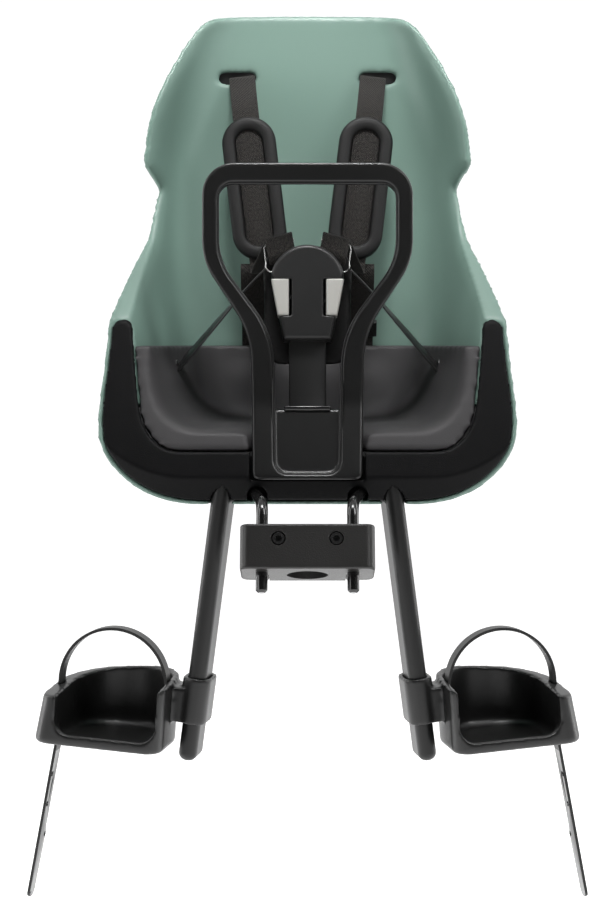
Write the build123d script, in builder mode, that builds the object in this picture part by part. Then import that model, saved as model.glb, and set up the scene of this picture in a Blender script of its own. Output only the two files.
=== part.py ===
# Front child seat for a bicycle: a moulded bucket seat with a grab handle, a harness,
# two leg tubes with sliding footrests, and a clamp block for the handlebar stem.
#
# Frame: the origin is on the stem axis, half way up the clamp block. +X is to the
# child's left, +Y runs to the rear of the bicycle and +Z is up. Sizes are millimetres.

import os
from collections import namedtuple
from math import atan2, cos, degrees, radians, sin, tan

import numpy as np
from build123d import *

# Stem and clamp block
STEM_LEAN = 20.0  # the steering axis leans back from vertical by this many degrees
STEM_RADIUS = 17.5
BLOCK_WIDTH = 112.0
BLOCK_HEIGHT = 38.0
BLOCK_FRONT = 28.5  # stem axis to the front face
BLOCK_REAR = 20.0  # stem axis to the rear faces of the cheeks
BLOCK_CORNER = 8.0
BLOCK_EDGE = 2.0
CHEEK_WIDTH = 23.5
YOKE_HEIGHT = 30.0
YOKE_REAR = 26.0  # stem axis to the rear face of the yoke
YOKE_GAP = 1.0  # clamping gap between the block and the yoke
YOKE_SIDE_CLEARANCE = 0.2
YOKE_EDGE = 2.0

# Clamp bolts, M6 with socket heads
BOLT_SPACING = 48.0
BOLT_RISE = 6.5
BOLT_RADIUS = 3.0
BOLT_HEAD_RADIUS = 5.0
BOLT_HEAD_HEIGHT = 6.0
BOLT_SOCKET_RADIUS = 2.9  # over the corners of the hexagon
BOLT_SOCKET_DEPTH = 3.5
BOLT_RECESS_RADIUS = 6.0
BOLT_RECESS_DEPTH = 6.5
BOLT_HOLE_CLEARANCE = 0.3
BOLT_PROUD = 1.5  # thread that stands out of the nut
NUT_RADIUS = 5.8  # over the corners
NUT_HEIGHT = 5.0
NUT_CLEARANCE = 0.15
THREAD_CLEARANCE = 0.02

# Carrier rod: one bent bar whose two ends are the pins in the block
ROD_RADIUS = 5.0
PIN_SPACING = 76.0
PIN_FORWARD = 11.0  # the pins stand this far ahead of the stem axis
PIN_CLEARANCE = 0.05
PIN_TIP = 17.0  # length of pin below the block
PIN_CHAMFER = 2.0
ROD_BEND_RISE = 40.5  # bend point above the block's middle, along the pin
ROD_BEND_RADIUS = 16.0
ROD_EASE_RADIUS = 40.0
ROD_FRONT_RISE = 46.0  # heights of the rod's runs under the seat
ROD_REAR_RISE = 55.0
ROD_SPREAD = 96.0  # between the runs under the seat
ROD_REAR = 150.0
ROD_FRONT = 75.0  # the runs are parallel from here back

# Bucket shell, as plan outlines at several heights
WALL = 4.0
FLOOR = 35.0  # underside of the bowl
BUCKET_FRONT = 30.0  # the plan outlines start here, ahead of the trimmed front
BACK_BULGE = 9.0
OUTER_ROUND_RUN = 85.0
OUTER_ROUND_REAR = 60.0
OUTER_ROUND_START = 3.0  # slope of the side where the rounding starts, in degrees
CAVITY_FLOOR = 81.5
CAVITY_ROUND_RUN = 42.0
CAVITY_ROUND_REAR = 30.0
CAVITY_ROUND_START = 15.0
ROUND_STEPS = 6
LEVEL_STEPS = 11
INNER_WALL_BOTTOM = 120.0  # the shell's inner wall ends here and the seat base starts
HOLLOW_TOP = 230.0  # the arms are hollow up to here
TIP_RISE = 197.0  # height of the arm tips
RIM_LINE = ((182, 276), (203, 322), (176, 342), (181, 405), (228, 486), (300, 508))
RIM_RADII = (14, 60, 5, 8, 120, 30)
HOLLOW_FORWARD = 10.0  # the hollow's own rim line is moved forward and down
HOLLOW_DROP = 18.0
FASCIA_FORWARD = 4.0  # the fascia's rim line is moved forward and down
FASCIA_DROP = 5.0
SLOT_FRONT = 190.0
SLOT_WIDTH = 36.0
SLOT_HEIGHT = 11.0
SLOT_RISE = 432.0
SLOT_SPACING = 136.0

# Front plane of the seat, parallel to the stem and clear of it
FRONT_SETBACK = 23.0
FASCIA_WALL = 4.0
FASCIA_CLEARANCE = 0.25
BEVEL_PLANE = 60.0  # the bevel under the crease starts from this upright plane
BEVEL_ANGLE = 61.0
BEVEL_HALF_WIDTH = 188.0
BEVEL_CORNER = 82.0
BEVEL_DROP = 0.5  # the front block reaches this far below the bowl
BEVEL_RUN = 22.0
ROD_ARCH_RADIUS = 8.5
ARCH_SPACING = 88.0
ARCH_MIDDLE = 13.5  # middle of the arch cut, which opens downwards
ARCH_LENGTH = 60.0

# Cushion
CUSHION_CLEARANCE = 0.3
CUSHION_FLOOR = 20.0
CUSHION_WALL = 10.0
CUSHION_TOP = 174.0
CUSHION_SETBACK = 1.0

# Grab handle
HANDLE_PROUD = 2.0  # ahead of the seat's front plane
HANDLE_DEPTH = 22.0
HANDLE_BASE_DEPTH = 11.0
HANDLE_KNEE = 128.0  # above this height the loop stands nearly upright
HANDLE_LEAN = 3.0
HANDLE_TOP = 334.0
HANDLE_BOTTOM = 58.0
HANDLE_HALF_WIDTH = 92.5
HANDLE_BAR = 17.5
HANDLE_ARM = 13.5
HANDLE_BASE_HALF = 47.5
HANDLE_NECK = 184.0
HANDLE_SHOULDER = 248.0
HANDLE_KNEE_RADIUS = 60.0
HANDLE_STEP_RISE = 112.0  # the base steps out to the full depth above the cushion
HANDLE_STEP = 12.0
HANDLE_NECK_FLARE = 2.5  # the base is this much wider at the neck than at the bottom
HANDLE_OUTER_RADII = (6, 85, 60, 28)
HANDLE_INNER_RADII = (12, 85, 60, 14)
HANDLE_REAR_RADII = (0.5, 12, 10)
HANDLE_RUN_TOP = 350.0
HANDLE_RUN_BOTTOM = 40.0
POCKET_SILL = 5.0
POCKET_HALF = 28.5
HANDLE_EDGE = 2.0
WEB_TOP = 118.0
WEB_THICKNESS = 5.0
HANDLE_CLEARANCE = 0.3

# Seat base: the chassis inside the bowl
BASE_CLEARANCE = 0.3
BEAM_WIDTH = 30.0
BEAM_START = 15.0  # along the run, from where the runs are parallel
BEAM_LENGTH = 42.0
BEAM_HEIGHT = 33.0
CLIP_SPACING = 23.0
CLIP_LENGTH = 18.0
CLIP_HEIGHT = 8.3
CLIP_FIT = 0.05
CLIP_SCREW_OFFSET = 9.0  # from the rod's middle to each screw
SCREW_RADIUS = 2.0
SCREW_LENGTH = 14.0
SCREW_HEAD_RADIUS = 3.8
SCREW_HEAD_HEIGHT = 2.4
SOCKET_WALL = 4.0
SOCKET_DEPTH = 21.0
SOCKET_ROOF = 14.0
SOCKET_FIT = 0.1
LUG_INNER = 30.0  # the handle's lugs, from the middle of the seat
LUG_OUTER = 46.0
LUG_DEPTH = 9.0
LUG_BOTTOM = 70.0  # up the front plane, along the stem
LUG_TOP = 97.0
HANDLE_SCREW_RISE = 78.0  # up the front plane, along the stem
HANDLE_SCREW_BITE = 7.0
FIT = 0.05  # around pieces that are held fast

# Harness
WEBBING = 1.8
STRAP_WIDTH = 25.0
PAD_TOP = Vector(58, 202, 388)
PAD_BOTTOM = Vector(42, 172, 255)
PAD_WIDTH = 51.0
PAD_LENGTH = 140.0
PAD_THICKNESS = 12.0
PAD_BAND = 10.0
PAD_FIT = 0.3
KEEPER_WIDTH = 46.0
KEEPER_SECTION = 8.0
KEEPER_DEPTH = 24.0
KEEPER_FORWARD = 7.0  # the keeper's middle, ahead of the strap's end
STRAP_FOLD = 6.0  # bend radius of the webbing
STRAP_TAIL = 14.0  # the shoulder strap runs on below the pad
STRAP_SLOT = (119.8, -24.8)  # just ahead of the shell's slot, in the pad's frame
STRAP_BEHIND = 14.0  # from there straight back through the slot
STRAP_CLEARANCE = 0.5
LOWER_STRAP_X = 50.0
LOWER_STRAP_GAP = 2.25  # behind the shoulder strap, between the middles
LOWER_STRAP_TOP = 2.0  # below the pad's lower end
LOWER_STRAP_BEND = Vector(0, 206.5, 185)
LOWER_STRAP_END = Vector(0, 210, 158)
ADJUSTER_HEIGHT = 16.0
ADJUSTER_WIDTH = 32.0
ADJUSTER_THICKNESS = 6.0
ADJUSTER_PLACE = 0.9  # share of the way down the lower strap's long run
LAP_STRAP_WIDTH = 20.0
LAP_START = Vector(43, 17.5, 3)  # in the buckle's frame
LAP_END = Vector(138, 146, 132)
LAP_ANCHOR = 14.0
LAP_ANCHOR_WIDTH = 26.0
CROTCH_WIDTH = 33.0
CROTCH_THICKNESS = 3.0
CROTCH_SETBACK = 14.4  # from the front plane to the strap's middle
CROTCH_PIN_RISE = 72.0
CROTCH_BEND_RISE = 125.0
CROTCH_PIN_RADIUS = 3.0
CROTCH_PIN_LENGTH = 72.0

# Buckle, in a frame that leans back a little
BUCKLE_MIDDLE = (0, 102, 220)
BUCKLE_LEAN = 10.0
BUCKLE_HALF_WIDTH = 32.5
BUCKLE_FOOT_HALF = 21.5
BUCKLE_HALF_HEIGHT = 43.0
BUCKLE_SHOULDER = 16.0
BUCKLE_FRONT_DEPTH = 12.0
BUCKLE_REAR_DEPTH = 9.0
BUCKLE_EDGE = 4.0
BUCKLE_WALL = 2.5
BUTTON_INNER = 16.5
BUTTON_REAR = -5.0
BUTTON_TOP = 11.5
BUTTON_BOTTOM = -21.5
BUTTON_TRAVEL = 2.0
BUTTON_CLEARANCE = 0.35
BUTTON_PROUD = 0.8
BUTTON_EDGE = 1.5
BUCKLE_STRAP_ENTRY = 46.0  # the crotch strap runs straight from here, below the middle
BUCKLE_STRAP_END = 30.0
SPRING_RISE = -5.0
SPRING_SWING = 5.0
SPRING_WAVES = 4
SPRING_LEAF = 0.7
SPRING_DEPTH = 5.0
TONGUE_MIDDLE = (27, 40)
TONGUE_TURN = 17.0
TONGUE_WIDTH = 33.0
TONGUE_THICKNESS = 2.5
TONGUE_BAR = 10.0  # height of the bar that the webbing loops round
TONGUE_SLOT = 5.0
TONGUE_RAIL = 4.5
TONGUE_BLADE = 12.0
TONGUE_REACH = 27.0  # length of the blade below the bar
TONGUE_TAB = (43, 28.4, 7, 16.4)  # middle, width and height of the lap strap's tab
BUCKLE_PAD_HALF = 40.0
BUCKLE_PAD_TOP = 43.0
BUCKLE_PAD_BOTTOM = -62.0
BUCKLE_PAD_THICKNESS = 6.0
BUCKLE_PAD_CORNER = 18.0
BUCKLE_PAD_GAP = 0.1

# Leg tubes
LEG_SPLAY = 7.5
LEG_TOE = 10.0
LEG_TOP_X = 70.8
LEG_TOP_Y = 70.0
LEG_TOP_Z = 66.0
LEG_WIDTH = 16.5
LEG_DEPTH = 36.0
LEG_LENGTH = 260.0
LEG_END = 7.0
LEG_OPENING_LENGTH = 60.0
LEG_OPENING_CLEARANCE = 0.4
LEG_BOLT_DROP = 10.0
LEG_BOLT_RADIUS = 2.5
LEG_BOLT_HEAD_RADIUS = 4.25
LEG_BOLT_HEAD_HEIGHT = 3.0

# Footrests: the sleeve is measured up from the leg's end, along the leg
SLEEVE_TOP = 75.0
SLEEVE_BOTTOM = 34.0
SLEEVE_CLEARANCE = 0.35
SLEEVE_WALL = 4.0
LINK_FRONT = -20.0  # the link between the sleeve and the cup
LINK_REAR = 12.0

# Heel cup, in its own frame: x out of the seat, y back, z up from its underside
CUP_START = 16.0  # from the leg's middle
CUP_RISE = 9.5  # above the leg's end
CUP_TILT = 3.6  # the cup falls outwards by this angle
CUP_LENGTH = 116.0
CUP_FRONT = -54.0
CUP_REAR = 42.0
CUP_HEIGHT = 70.0  # before the rim is cut
CUP_DRAFT = 10.0  # the outer side leans in by this much over the height
CUP_RIM_INNER = 65.0  # heights of the rim at three corners
CUP_RIM_OUTER = 51.0
CUP_RIM_FRONT = 55.0
CUP_WALL = 6.0
CUP_OUTER_WALL = 21.0
CUP_FLOOR = 4.0
CUP_LIP = 10.0  # height of the front lip, below the opening for the foot
CUP_REAR_CORNER = 44.0
CUP_FRONT_CORNER = 16.0
CUP_LIP_CORNER = 13.0
CUP_FLOOR_ROUND = 8.0
CUP_EDGE = 4.0
FOOT_STRAP_Y = -8.0
FOOT_STRAP_WIDTH = 13.0
FOOT_STRAP_THICKNESS = 2.6
FOOT_STRAP_GAP = 0.1
FOOT_STRAP_OUTER = 11.5  # from the cup's outer side at the bottom
FOOT_STRAP_START = 22.0
FOOT_STRAP_SPRING_LINE = 52.0
FOOT_STRAP_CROWN = 100.0
FOOT_STRAP_EXIT = -7.0
FOOT_STRAP_END = (132, -152)
FOOT_STRAP_FOLD = 12.0
FOOT_SLOT_CLEARANCE = 1.4
TAIL_ROUND = 6.0
TAIL_HOLE_RADIUS = 2.6
TAIL_HOLE_SPACING = 28.5
TAIL_HOLE_RISE = 60.0  # from the tail's end to the lowest hole

REACH = 700.0  # larger than the seat, for blocks that only cut

Level = namedtuple("Level", "z front rear_half rear corner")

OUTER_LEVELS = (
    Level(105, 193, 147, 209, 50),
    Level(200, 198.5, 141, 218, 48),
    Level(300, 211, 131, 231, 46),
    Level(345, 217, 129, 236, 46),
    Level(430, 202, 113, 242, 46),
    Level(505, 172, 88, 248, 46),
)
CAVITY_LEVELS = (
    Level(123, 161, 109, 202, 46),
    Level(200, 181.5, 117, 211, 44),
    Level(300, 203, 125, 224, 42),
    Level(345, 209, 123, 229, 42),
    Level(430, 194, 107, 235, 42),
    Level(515, 160, 80, 242, 42),
)

stem_sin, stem_cos = sin(radians(STEM_LEAN)), cos(radians(STEM_LEAN))
stem_plane = Plane((0, 0, 0), x_dir=(1, 0, 0), z_dir=(0, stem_sin, stem_cos))
os.makedirs("parts", exist_ok=True)


def save(piece, name):
    """Labels a finished piece and writes it as one STEP file."""
    piece.label = name
    export_step(piece, f"parts/{name}.step")


def mirrored(piece):
    """The same piece on the child's right side."""
    with BuildPart() as other:
        mirror(piece, about=Plane.YZ)
    return other.part


def save_pair(piece, name):
    """Writes a piece for the child's left side and its mirror image for the right."""
    save(piece, f"{name}_left")
    save(mirrored(piece), f"{name}_right")


def front_y(height, setback=0.0):
    """Depth of the seat's leaning front plane at a height, moved back by a setback."""
    return (FRONT_SETBACK + setback + height * stem_sin) / stem_cos


def stem_point(x, y, z):
    """A point given in the stem's own frame."""
    return stem_plane.from_local_coords(Vector(x, y, z))


def above(height):
    """Everything above a height."""
    with BuildPart() as block:
        with Locations((0, 0, height)):
            Box(2 * REACH, 2 * REACH, REACH, align=(Align.CENTER, Align.CENTER, Align.MIN))
    return block.part


def ahead(half_width, setback):
    """Everything ahead of a plane that is set back from the seat's front plane."""
    with BuildPart() as block:
        with BuildSketch(stem_plane):
            with Locations((0, FRONT_SETBACK + setback)):
                Rectangle(2 * half_width, REACH, align=(Align.CENTER, Align.MAX))
        extrude(amount=REACH, both=True)
    return block.part


def ribbon(points, across, width, thickness):
    """A flat strap along a line of points, all in one plane with the given normal."""
    plane = Plane(points[0], x_dir=points[1] - points[0], z_dir=across)
    flat = [plane.to_local_coords(point) for point in points]
    with BuildPart() as strap:
        with BuildSketch(plane):
            with BuildLine():
                if len(flat) > 2:
                    FilletPolyline(*[(p.X, p.Y) for p in flat], radius=STRAP_FOLD)
                else:
                    Polyline(*[(p.X, p.Y) for p in flat])
            trace(line_width=thickness)
        extrude(amount=width / 2, both=True)
    return strap.part


def round_off(level, floor, run, rear_run, start):
    """Outlines of a rounded bowl below a level, from a start angle down to the flat floor."""
    height = (level.z - floor) / (1 - sin(radians(start)))
    steps = []
    for angle in np.linspace(90, start, ROUND_STEPS)[:-1]:
        shrink = cos(radians(start)) - cos(radians(angle))
        steps.append(
            Level(
                level.z - height * (sin(radians(angle)) - sin(radians(start))),
                level.front - run * shrink,
                level.rear_half - run * shrink,
                level.rear - rear_run * shrink,
                level.corner,
            )
        )
    return steps


def smooth_levels(levels):
    """Outlines at even steps of height, on smooth curves through the given levels."""
    heights = [level.z for level in levels]
    steps = []
    for z in np.linspace(heights[0], heights[-1], LEVEL_STEPS):
        below = max(i for i in range(len(heights) - 1) if heights[i] <= z)
        span = heights[below + 1] - heights[below]
        t = (z - heights[below]) / span
        sizes = []
        for field in Level._fields[1:]:
            values = [getattr(level, field) for level in levels]
            slopes = np.gradient(values, heights) * span
            sizes.append(
                (2 * t**3 - 3 * t**2 + 1) * values[below]
                + (t**3 - 2 * t**2 + t) * slopes[below]
                + (3 * t**2 - 2 * t**3) * values[below + 1]
                + (t**3 - t**2) * slopes[below + 1]
            )
        steps.append(Level(z, *sizes))
    return steps


def bucket(levels, inset, lift=0.0):
    """Lofts the bucket's plan outlines, each drawn in by an inset and all lifted."""
    with BuildPart() as solid:
        for level in levels:
            with BuildSketch(Plane.XY.offset(level.z + lift)) as outline:
                front_half = level.front - inset
                rear_half = level.rear_half - inset
                rear = level.rear - inset
                with BuildLine():
                    Line((-front_half, BUCKET_FRONT), (front_half, BUCKET_FRONT))
                    Line((front_half, BUCKET_FRONT), (rear_half, rear))
                    ThreePointArc((rear_half, rear), (0, rear + BACK_BULGE), (-rear_half, rear))
                    Line((-rear_half, rear), (-front_half, BUCKET_FRONT))
                make_face()
                rear_corners = outline.vertices().group_by(Axis.Y)[-1]
                fillet(rear_corners, level.corner - inset)
        loft()
    return solid.part


outer_levels = round_off(
    OUTER_LEVELS[0], FLOOR, OUTER_ROUND_RUN, OUTER_ROUND_REAR, OUTER_ROUND_START
) + smooth_levels(OUTER_LEVELS)
cavity_levels = round_off(
    CAVITY_LEVELS[0], CAVITY_FLOOR, CAVITY_ROUND_RUN, CAVITY_ROUND_REAR, CAVITY_ROUND_START
) + smooth_levels(CAVITY_LEVELS)

bowl = bucket(outer_levels, 0)
liner = bucket(outer_levels, WALL, WALL)
inner_limit = bucket(outer_levels, WALL + FASCIA_CLEARANCE, WALL + FASCIA_CLEARANCE)
cavity = bucket(cavity_levels, 0)
cavity_wall = bucket(cavity_levels, -WALL, -WALL)

# Front block: everything behind the leaning front plane and the bevel below its crease
with BuildPart() as front_block:
    for depth, taper in ((-REACH, 0), (BEVEL_RUN, BEVEL_ANGLE)):
        with BuildSketch(Plane.XZ.offset(-BEVEL_PLANE)) as bevel_outline:
            with Locations((0, FLOOR - BEVEL_DROP)):
                Rectangle(2 * BEVEL_HALF_WIDTH, REACH, align=(Align.CENTER, Align.MIN))
            fillet(bevel_outline.vertices().group_by(Axis.Y)[0], BEVEL_CORNER)
        extrude(amount=depth, taper=taper)
    add(ahead(REACH, 0), mode=Mode.SUBTRACT)

# Rim block: everything below the shell's rim line as seen from the side
rim_start = (front_y(0), 0)
with BuildPart() as rim_block:
    with BuildSketch(Plane.YZ):
        with BuildLine():
            FilletPolyline(rim_start, (front_y(TIP_RISE), TIP_RISE), *RIM_LINE, radius=RIM_RADII)
            Polyline(RIM_LINE[-1], (RIM_LINE[-1][0], 0), rim_start)
        make_face()
    extrude(amount=REACH / 2, both=True)
rim_inner = rim_block.part.moved(Location((0, -HOLLOW_FORWARD, -HOLLOW_DROP)))
rim_fascia = rim_block.part.moved(Location((0, -FASCIA_FORWARD, -FASCIA_DROP)))

# Leg frame: the leg tubes splay out and toe out
leg_up = Vector(-sin(radians(LEG_SPLAY)), 0, cos(radians(LEG_SPLAY)))
leg_out = Vector(cos(radians(LEG_SPLAY)), 0, sin(radians(LEG_SPLAY)))
leg_plane = Plane(
    (LEG_TOP_X, LEG_TOP_Y, LEG_TOP_Z),
    x_dir=leg_out * cos(radians(LEG_TOE)) + Vector(0, 1, 0) * sin(radians(LEG_TOE)),
    z_dir=leg_up,
)


def leg_bar(grow, top, bottom):
    """A length of the leg's section between two heights in the leg's frame, grown all round."""
    with BuildPart() as bar:
        with BuildSketch(leg_plane.offset(top)):
            SlotOverall(LEG_DEPTH + 2 * grow, LEG_WIDTH + 2 * grow, rotation=90)
        extrude(amount=bottom - top)
    return bar.part


leg_opening = leg_bar(LEG_OPENING_CLEARANCE, 0, -LEG_OPENING_LENGTH)
leg_openings = [leg_opening, mirrored(leg_opening)]

# Buckle frame and the lap straps, which pass through the cushion and the shell's inner wall
buckle_sin, buckle_cos = sin(radians(BUCKLE_LEAN)), cos(radians(BUCKLE_LEAN))
buckle_plane = Plane(BUCKLE_MIDDLE, x_dir=(1, 0, 0), z_dir=(0, -buckle_cos, buckle_sin))
lap_points = [buckle_plane.from_local_coords(LAP_START), LAP_END]
lap_along = (lap_points[1] - lap_points[0]).normalized()
lap_across = Vector(0, 1, 0) - lap_along * lap_along.Y
lap_slot = ribbon(
    lap_points, lap_across, LAP_STRAP_WIDTH + 2 * STRAP_CLEARANCE, WEBBING + 2 * STRAP_CLEARANCE
)
lap_slots = [lap_slot, mirrored(lap_slot)]

# Seat shell: a single wall at the back, hollow arms closed by the rim, and a closed bowl below
with BuildPart() as inner_wall:
    add(cavity_wall)
    add(above(INNER_WALL_BOTTOM), mode=Mode.INTERSECT)

with BuildPart() as shell_hollow:
    add(liner)
    add(above(HOLLOW_TOP), mode=Mode.SUBTRACT)
    add(rim_inner, mode=Mode.INTERSECT)
    add(inner_wall.part, mode=Mode.SUBTRACT)

with BuildPart() as front_rebate:
    add(front_block.part)
    add(front_block.part.moved(Location((0, FASCIA_WALL + FASCIA_CLEARANCE, 0))), mode=Mode.SUBTRACT)
    add(liner, mode=Mode.INTERSECT)
    add(rim_fascia, mode=Mode.INTERSECT)

with BuildPart() as seat_shell:
    add(bowl)
    add(rim_block.part, mode=Mode.INTERSECT)
    add(front_block.part, mode=Mode.INTERSECT)
    add(cavity, mode=Mode.SUBTRACT)
    add(shell_hollow.part, mode=Mode.SUBTRACT)
    add(front_rebate.part, mode=Mode.SUBTRACT)
    add(leg_openings + lap_slots, mode=Mode.SUBTRACT)
    with BuildSketch(Plane.XZ.offset(-SLOT_FRONT)):
        with Locations((0, SLOT_RISE)):
            with GridLocations(SLOT_SPACING, 0, 2, 1):
                SlotOverall(SLOT_WIDTH, SLOT_HEIGHT)
    extrude(amount=-REACH, mode=Mode.SUBTRACT)
save(seat_shell.part, "seat_shell")

# Room for the handle's foot in the fascia, the cushion and the base, and for the crotch strap
base_back = HANDLE_BASE_DEPTH - HANDLE_PROUD
notch_half = HANDLE_BASE_HALF + HANDLE_NECK_FLARE + HANDLE_CLEARANCE
handle_notch = ahead(notch_half, base_back + HANDLE_CLEARANCE)
strap_notch = ahead(
    CROTCH_WIDTH / 2 + STRAP_CLEARANCE, CROTCH_SETBACK + CROTCH_THICKNESS / 2 + STRAP_CLEARANCE
)

# Front fascia: a skin over the front plane and the bevel, from the shell's wall to the cushion
with BuildPart() as front_skin:
    add(front_block.part)
    add(front_block.part.moved(Location((0, FASCIA_WALL, 0))), mode=Mode.SUBTRACT)

with BuildPart() as front_fascia:
    add(front_skin.part)
    add(inner_limit, mode=Mode.INTERSECT)
    add(rim_fascia.moved(Location((0, 0, -FASCIA_CLEARANCE))), mode=Mode.INTERSECT)
    add(cavity, mode=Mode.SUBTRACT)
    add(leg_openings, mode=Mode.SUBTRACT)
    with BuildSketch(Plane.XZ):
        with Locations((0, ARCH_MIDDLE)):
            with GridLocations(ARCH_SPACING, 0, 2, 1):
                SlotCenterToCenter(ARCH_LENGTH, 2 * ROD_ARCH_RADIUS, rotation=90)
        with Locations((0, HANDLE_BOTTOM - HANDLE_CLEARANCE)):
            Rectangle(2 * notch_half, HANDLE_STEP_RISE, align=(Align.CENTER, Align.MIN))
    extrude(amount=-REACH, mode=Mode.SUBTRACT)
save(front_fascia.part, "front_fascia")

# Shoulder pad frame: y runs up the strap and z faces the child's front
pad_along = (PAD_TOP - PAD_BOTTOM).normalized()
pad_front = Vector(0, -1, 0) + pad_along * pad_along.Y
pad_plane = Plane((PAD_TOP + PAD_BOTTOM) / 2, x_dir=pad_along.cross(pad_front), z_dir=pad_front)


def pad_point(y, z):
    """A point on the strap's middle line, given in the pad's frame."""
    return pad_plane.from_local_coords(Vector(0, y, z))


def lower_point(along):
    """A point of the lower strap beside the shoulder strap's tail, along the pad's frame."""
    point = pad_point(-along, -LOWER_STRAP_GAP)
    return Vector(LOWER_STRAP_X, point.Y, point.Z)


strap_side = Vector(LOWER_STRAP_X, 0, 0)
strap_tail = PAD_LENGTH / 2 + STRAP_TAIL
lower_points = [
    lower_point(PAD_LENGTH / 2 + LOWER_STRAP_TOP),
    lower_point(strap_tail),
    strap_side + LOWER_STRAP_BEND,
    strap_side + LOWER_STRAP_END,
]
lower_slot = ribbon(
    lower_points,
    Vector(1, 0, 0),
    STRAP_WIDTH + 2 * STRAP_CLEARANCE,
    WEBBING + 2 * STRAP_CLEARANCE,
)

# Seat cushion: a tub that lines the cavity, cut back at the front plane
with BuildPart() as seat_cushion:
    add(bucket(cavity_levels, CUSHION_CLEARANCE, CUSHION_CLEARANCE))
    add(above(CUSHION_TOP), mode=Mode.SUBTRACT)
    add(front_block.part.moved(Location((0, CUSHION_SETBACK, 0))), mode=Mode.INTERSECT)
    add(bucket(cavity_levels, CUSHION_WALL, CUSHION_FLOOR), mode=Mode.SUBTRACT)
    add([handle_notch, strap_notch], mode=Mode.SUBTRACT)
    add(lap_slots + [lower_slot, mirrored(lower_slot)], mode=Mode.SUBTRACT)
save(seat_cushion.part, "seat_cushion")

# Clamp block: half of the bore, two cheeks beside the yoke and the two pin holes
yoke_pocket = BLOCK_WIDTH - 2 * CHEEK_WIDTH
block_bottom = stem_plane.offset(-BLOCK_HEIGHT / 2)
bolt_front = Plane(stem_point(0, -BLOCK_FRONT, BOLT_RISE), x_dir=(1, 0, 0), z_dir=-stem_plane.y_dir)

with BuildPart() as clamp_block:
    with BuildSketch(block_bottom):
        with Locations((0, (BLOCK_REAR - BLOCK_FRONT) / 2)):
            RectangleRounded(BLOCK_WIDTH, BLOCK_FRONT + BLOCK_REAR, BLOCK_CORNER)
        Rectangle(yoke_pocket, 2 * BLOCK_REAR, align=(Align.CENTER, Align.MIN), mode=Mode.SUBTRACT)
    extrude(amount=BLOCK_HEIGHT)
    ends = clamp_block.faces().sort_by(Axis(stem_plane.origin, stem_plane.z_dir))
    fillet(ends[0].edges() + ends[-1].edges(), BLOCK_EDGE)
    with BuildSketch(block_bottom):
        Circle(STEM_RADIUS)
        with Locations((0, -PIN_FORWARD)):
            with GridLocations(PIN_SPACING, 0, 2, 1):
                Circle(ROD_RADIUS + PIN_CLEARANCE)
    extrude(amount=BLOCK_HEIGHT, mode=Mode.SUBTRACT)
    with Locations(bolt_front):
        with GridLocations(BOLT_SPACING, 0, 2, 1):
            CounterBoreHole(BOLT_RADIUS + BOLT_HOLE_CLEARANCE, BOLT_RECESS_RADIUS, BOLT_RECESS_DEPTH)
save(clamp_block.part, "clamp_block")

# Clamp yoke: the other half of the bore, drawn against the stem by the bolts
yoke_width = yoke_pocket - 2 * YOKE_SIDE_CLEARANCE
yoke_rear = Plane(stem_point(0, YOKE_REAR, BOLT_RISE), x_dir=(1, 0, 0), z_dir=stem_plane.y_dir)

with BuildPart() as clamp_yoke:
    with BuildSketch(stem_plane.offset(BOLT_RISE - YOKE_HEIGHT / 2)):
        with Locations((0, YOKE_GAP)):
            Rectangle(yoke_width, YOKE_REAR - YOKE_GAP, align=(Align.CENTER, Align.MIN))
        Circle(STEM_RADIUS, mode=Mode.SUBTRACT)
    extrude(amount=YOKE_HEIGHT)
    rear_face = clamp_yoke.faces().sort_by(Axis(stem_plane.origin, stem_plane.y_dir))[-1]
    fillet(rear_face.edges(), YOKE_EDGE)
    with BuildSketch(yoke_rear):
        with GridLocations(BOLT_SPACING, 0, 2, 1):
            RegularPolygon(NUT_RADIUS + NUT_CLEARANCE, 6)
    extrude(amount=-NUT_HEIGHT, mode=Mode.SUBTRACT)
    with Locations(yoke_rear):
        with GridLocations(BOLT_SPACING, 0, 2, 1):
            Hole(BOLT_RADIUS + BOLT_HOLE_CLEARANCE)
save(clamp_yoke.part, "clamp_yoke")

with BuildPart() as clamp_bolts:
    head_seat = bolt_front.offset(-BOLT_RECESS_DEPTH)
    with BuildSketch(head_seat):
        with GridLocations(BOLT_SPACING, 0, 2, 1):
            Circle(BOLT_HEAD_RADIUS)
    extrude(amount=BOLT_HEAD_HEIGHT)
    with BuildSketch(head_seat):
        with GridLocations(BOLT_SPACING, 0, 2, 1):
            Circle(BOLT_RADIUS)
    extrude(amount=-(BLOCK_FRONT - BOLT_RECESS_DEPTH + YOKE_REAR + BOLT_PROUD))
    with BuildSketch(head_seat.offset(BOLT_HEAD_HEIGHT)):
        with GridLocations(BOLT_SPACING, 0, 2, 1):
            RegularPolygon(BOLT_SOCKET_RADIUS, 6)
    extrude(amount=-BOLT_SOCKET_DEPTH, mode=Mode.SUBTRACT)
save(clamp_bolts.part, "clamp_bolts")

with BuildPart() as clamp_nuts:
    with BuildSketch(yoke_rear):
        with GridLocations(BOLT_SPACING, 0, 2, 1):
            RegularPolygon(NUT_RADIUS, 6)
            Circle(BOLT_RADIUS + THREAD_CLEARANCE, mode=Mode.SUBTRACT)
    extrude(amount=-NUT_HEIGHT)
save(clamp_nuts.part, "clamp_nuts")

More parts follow.
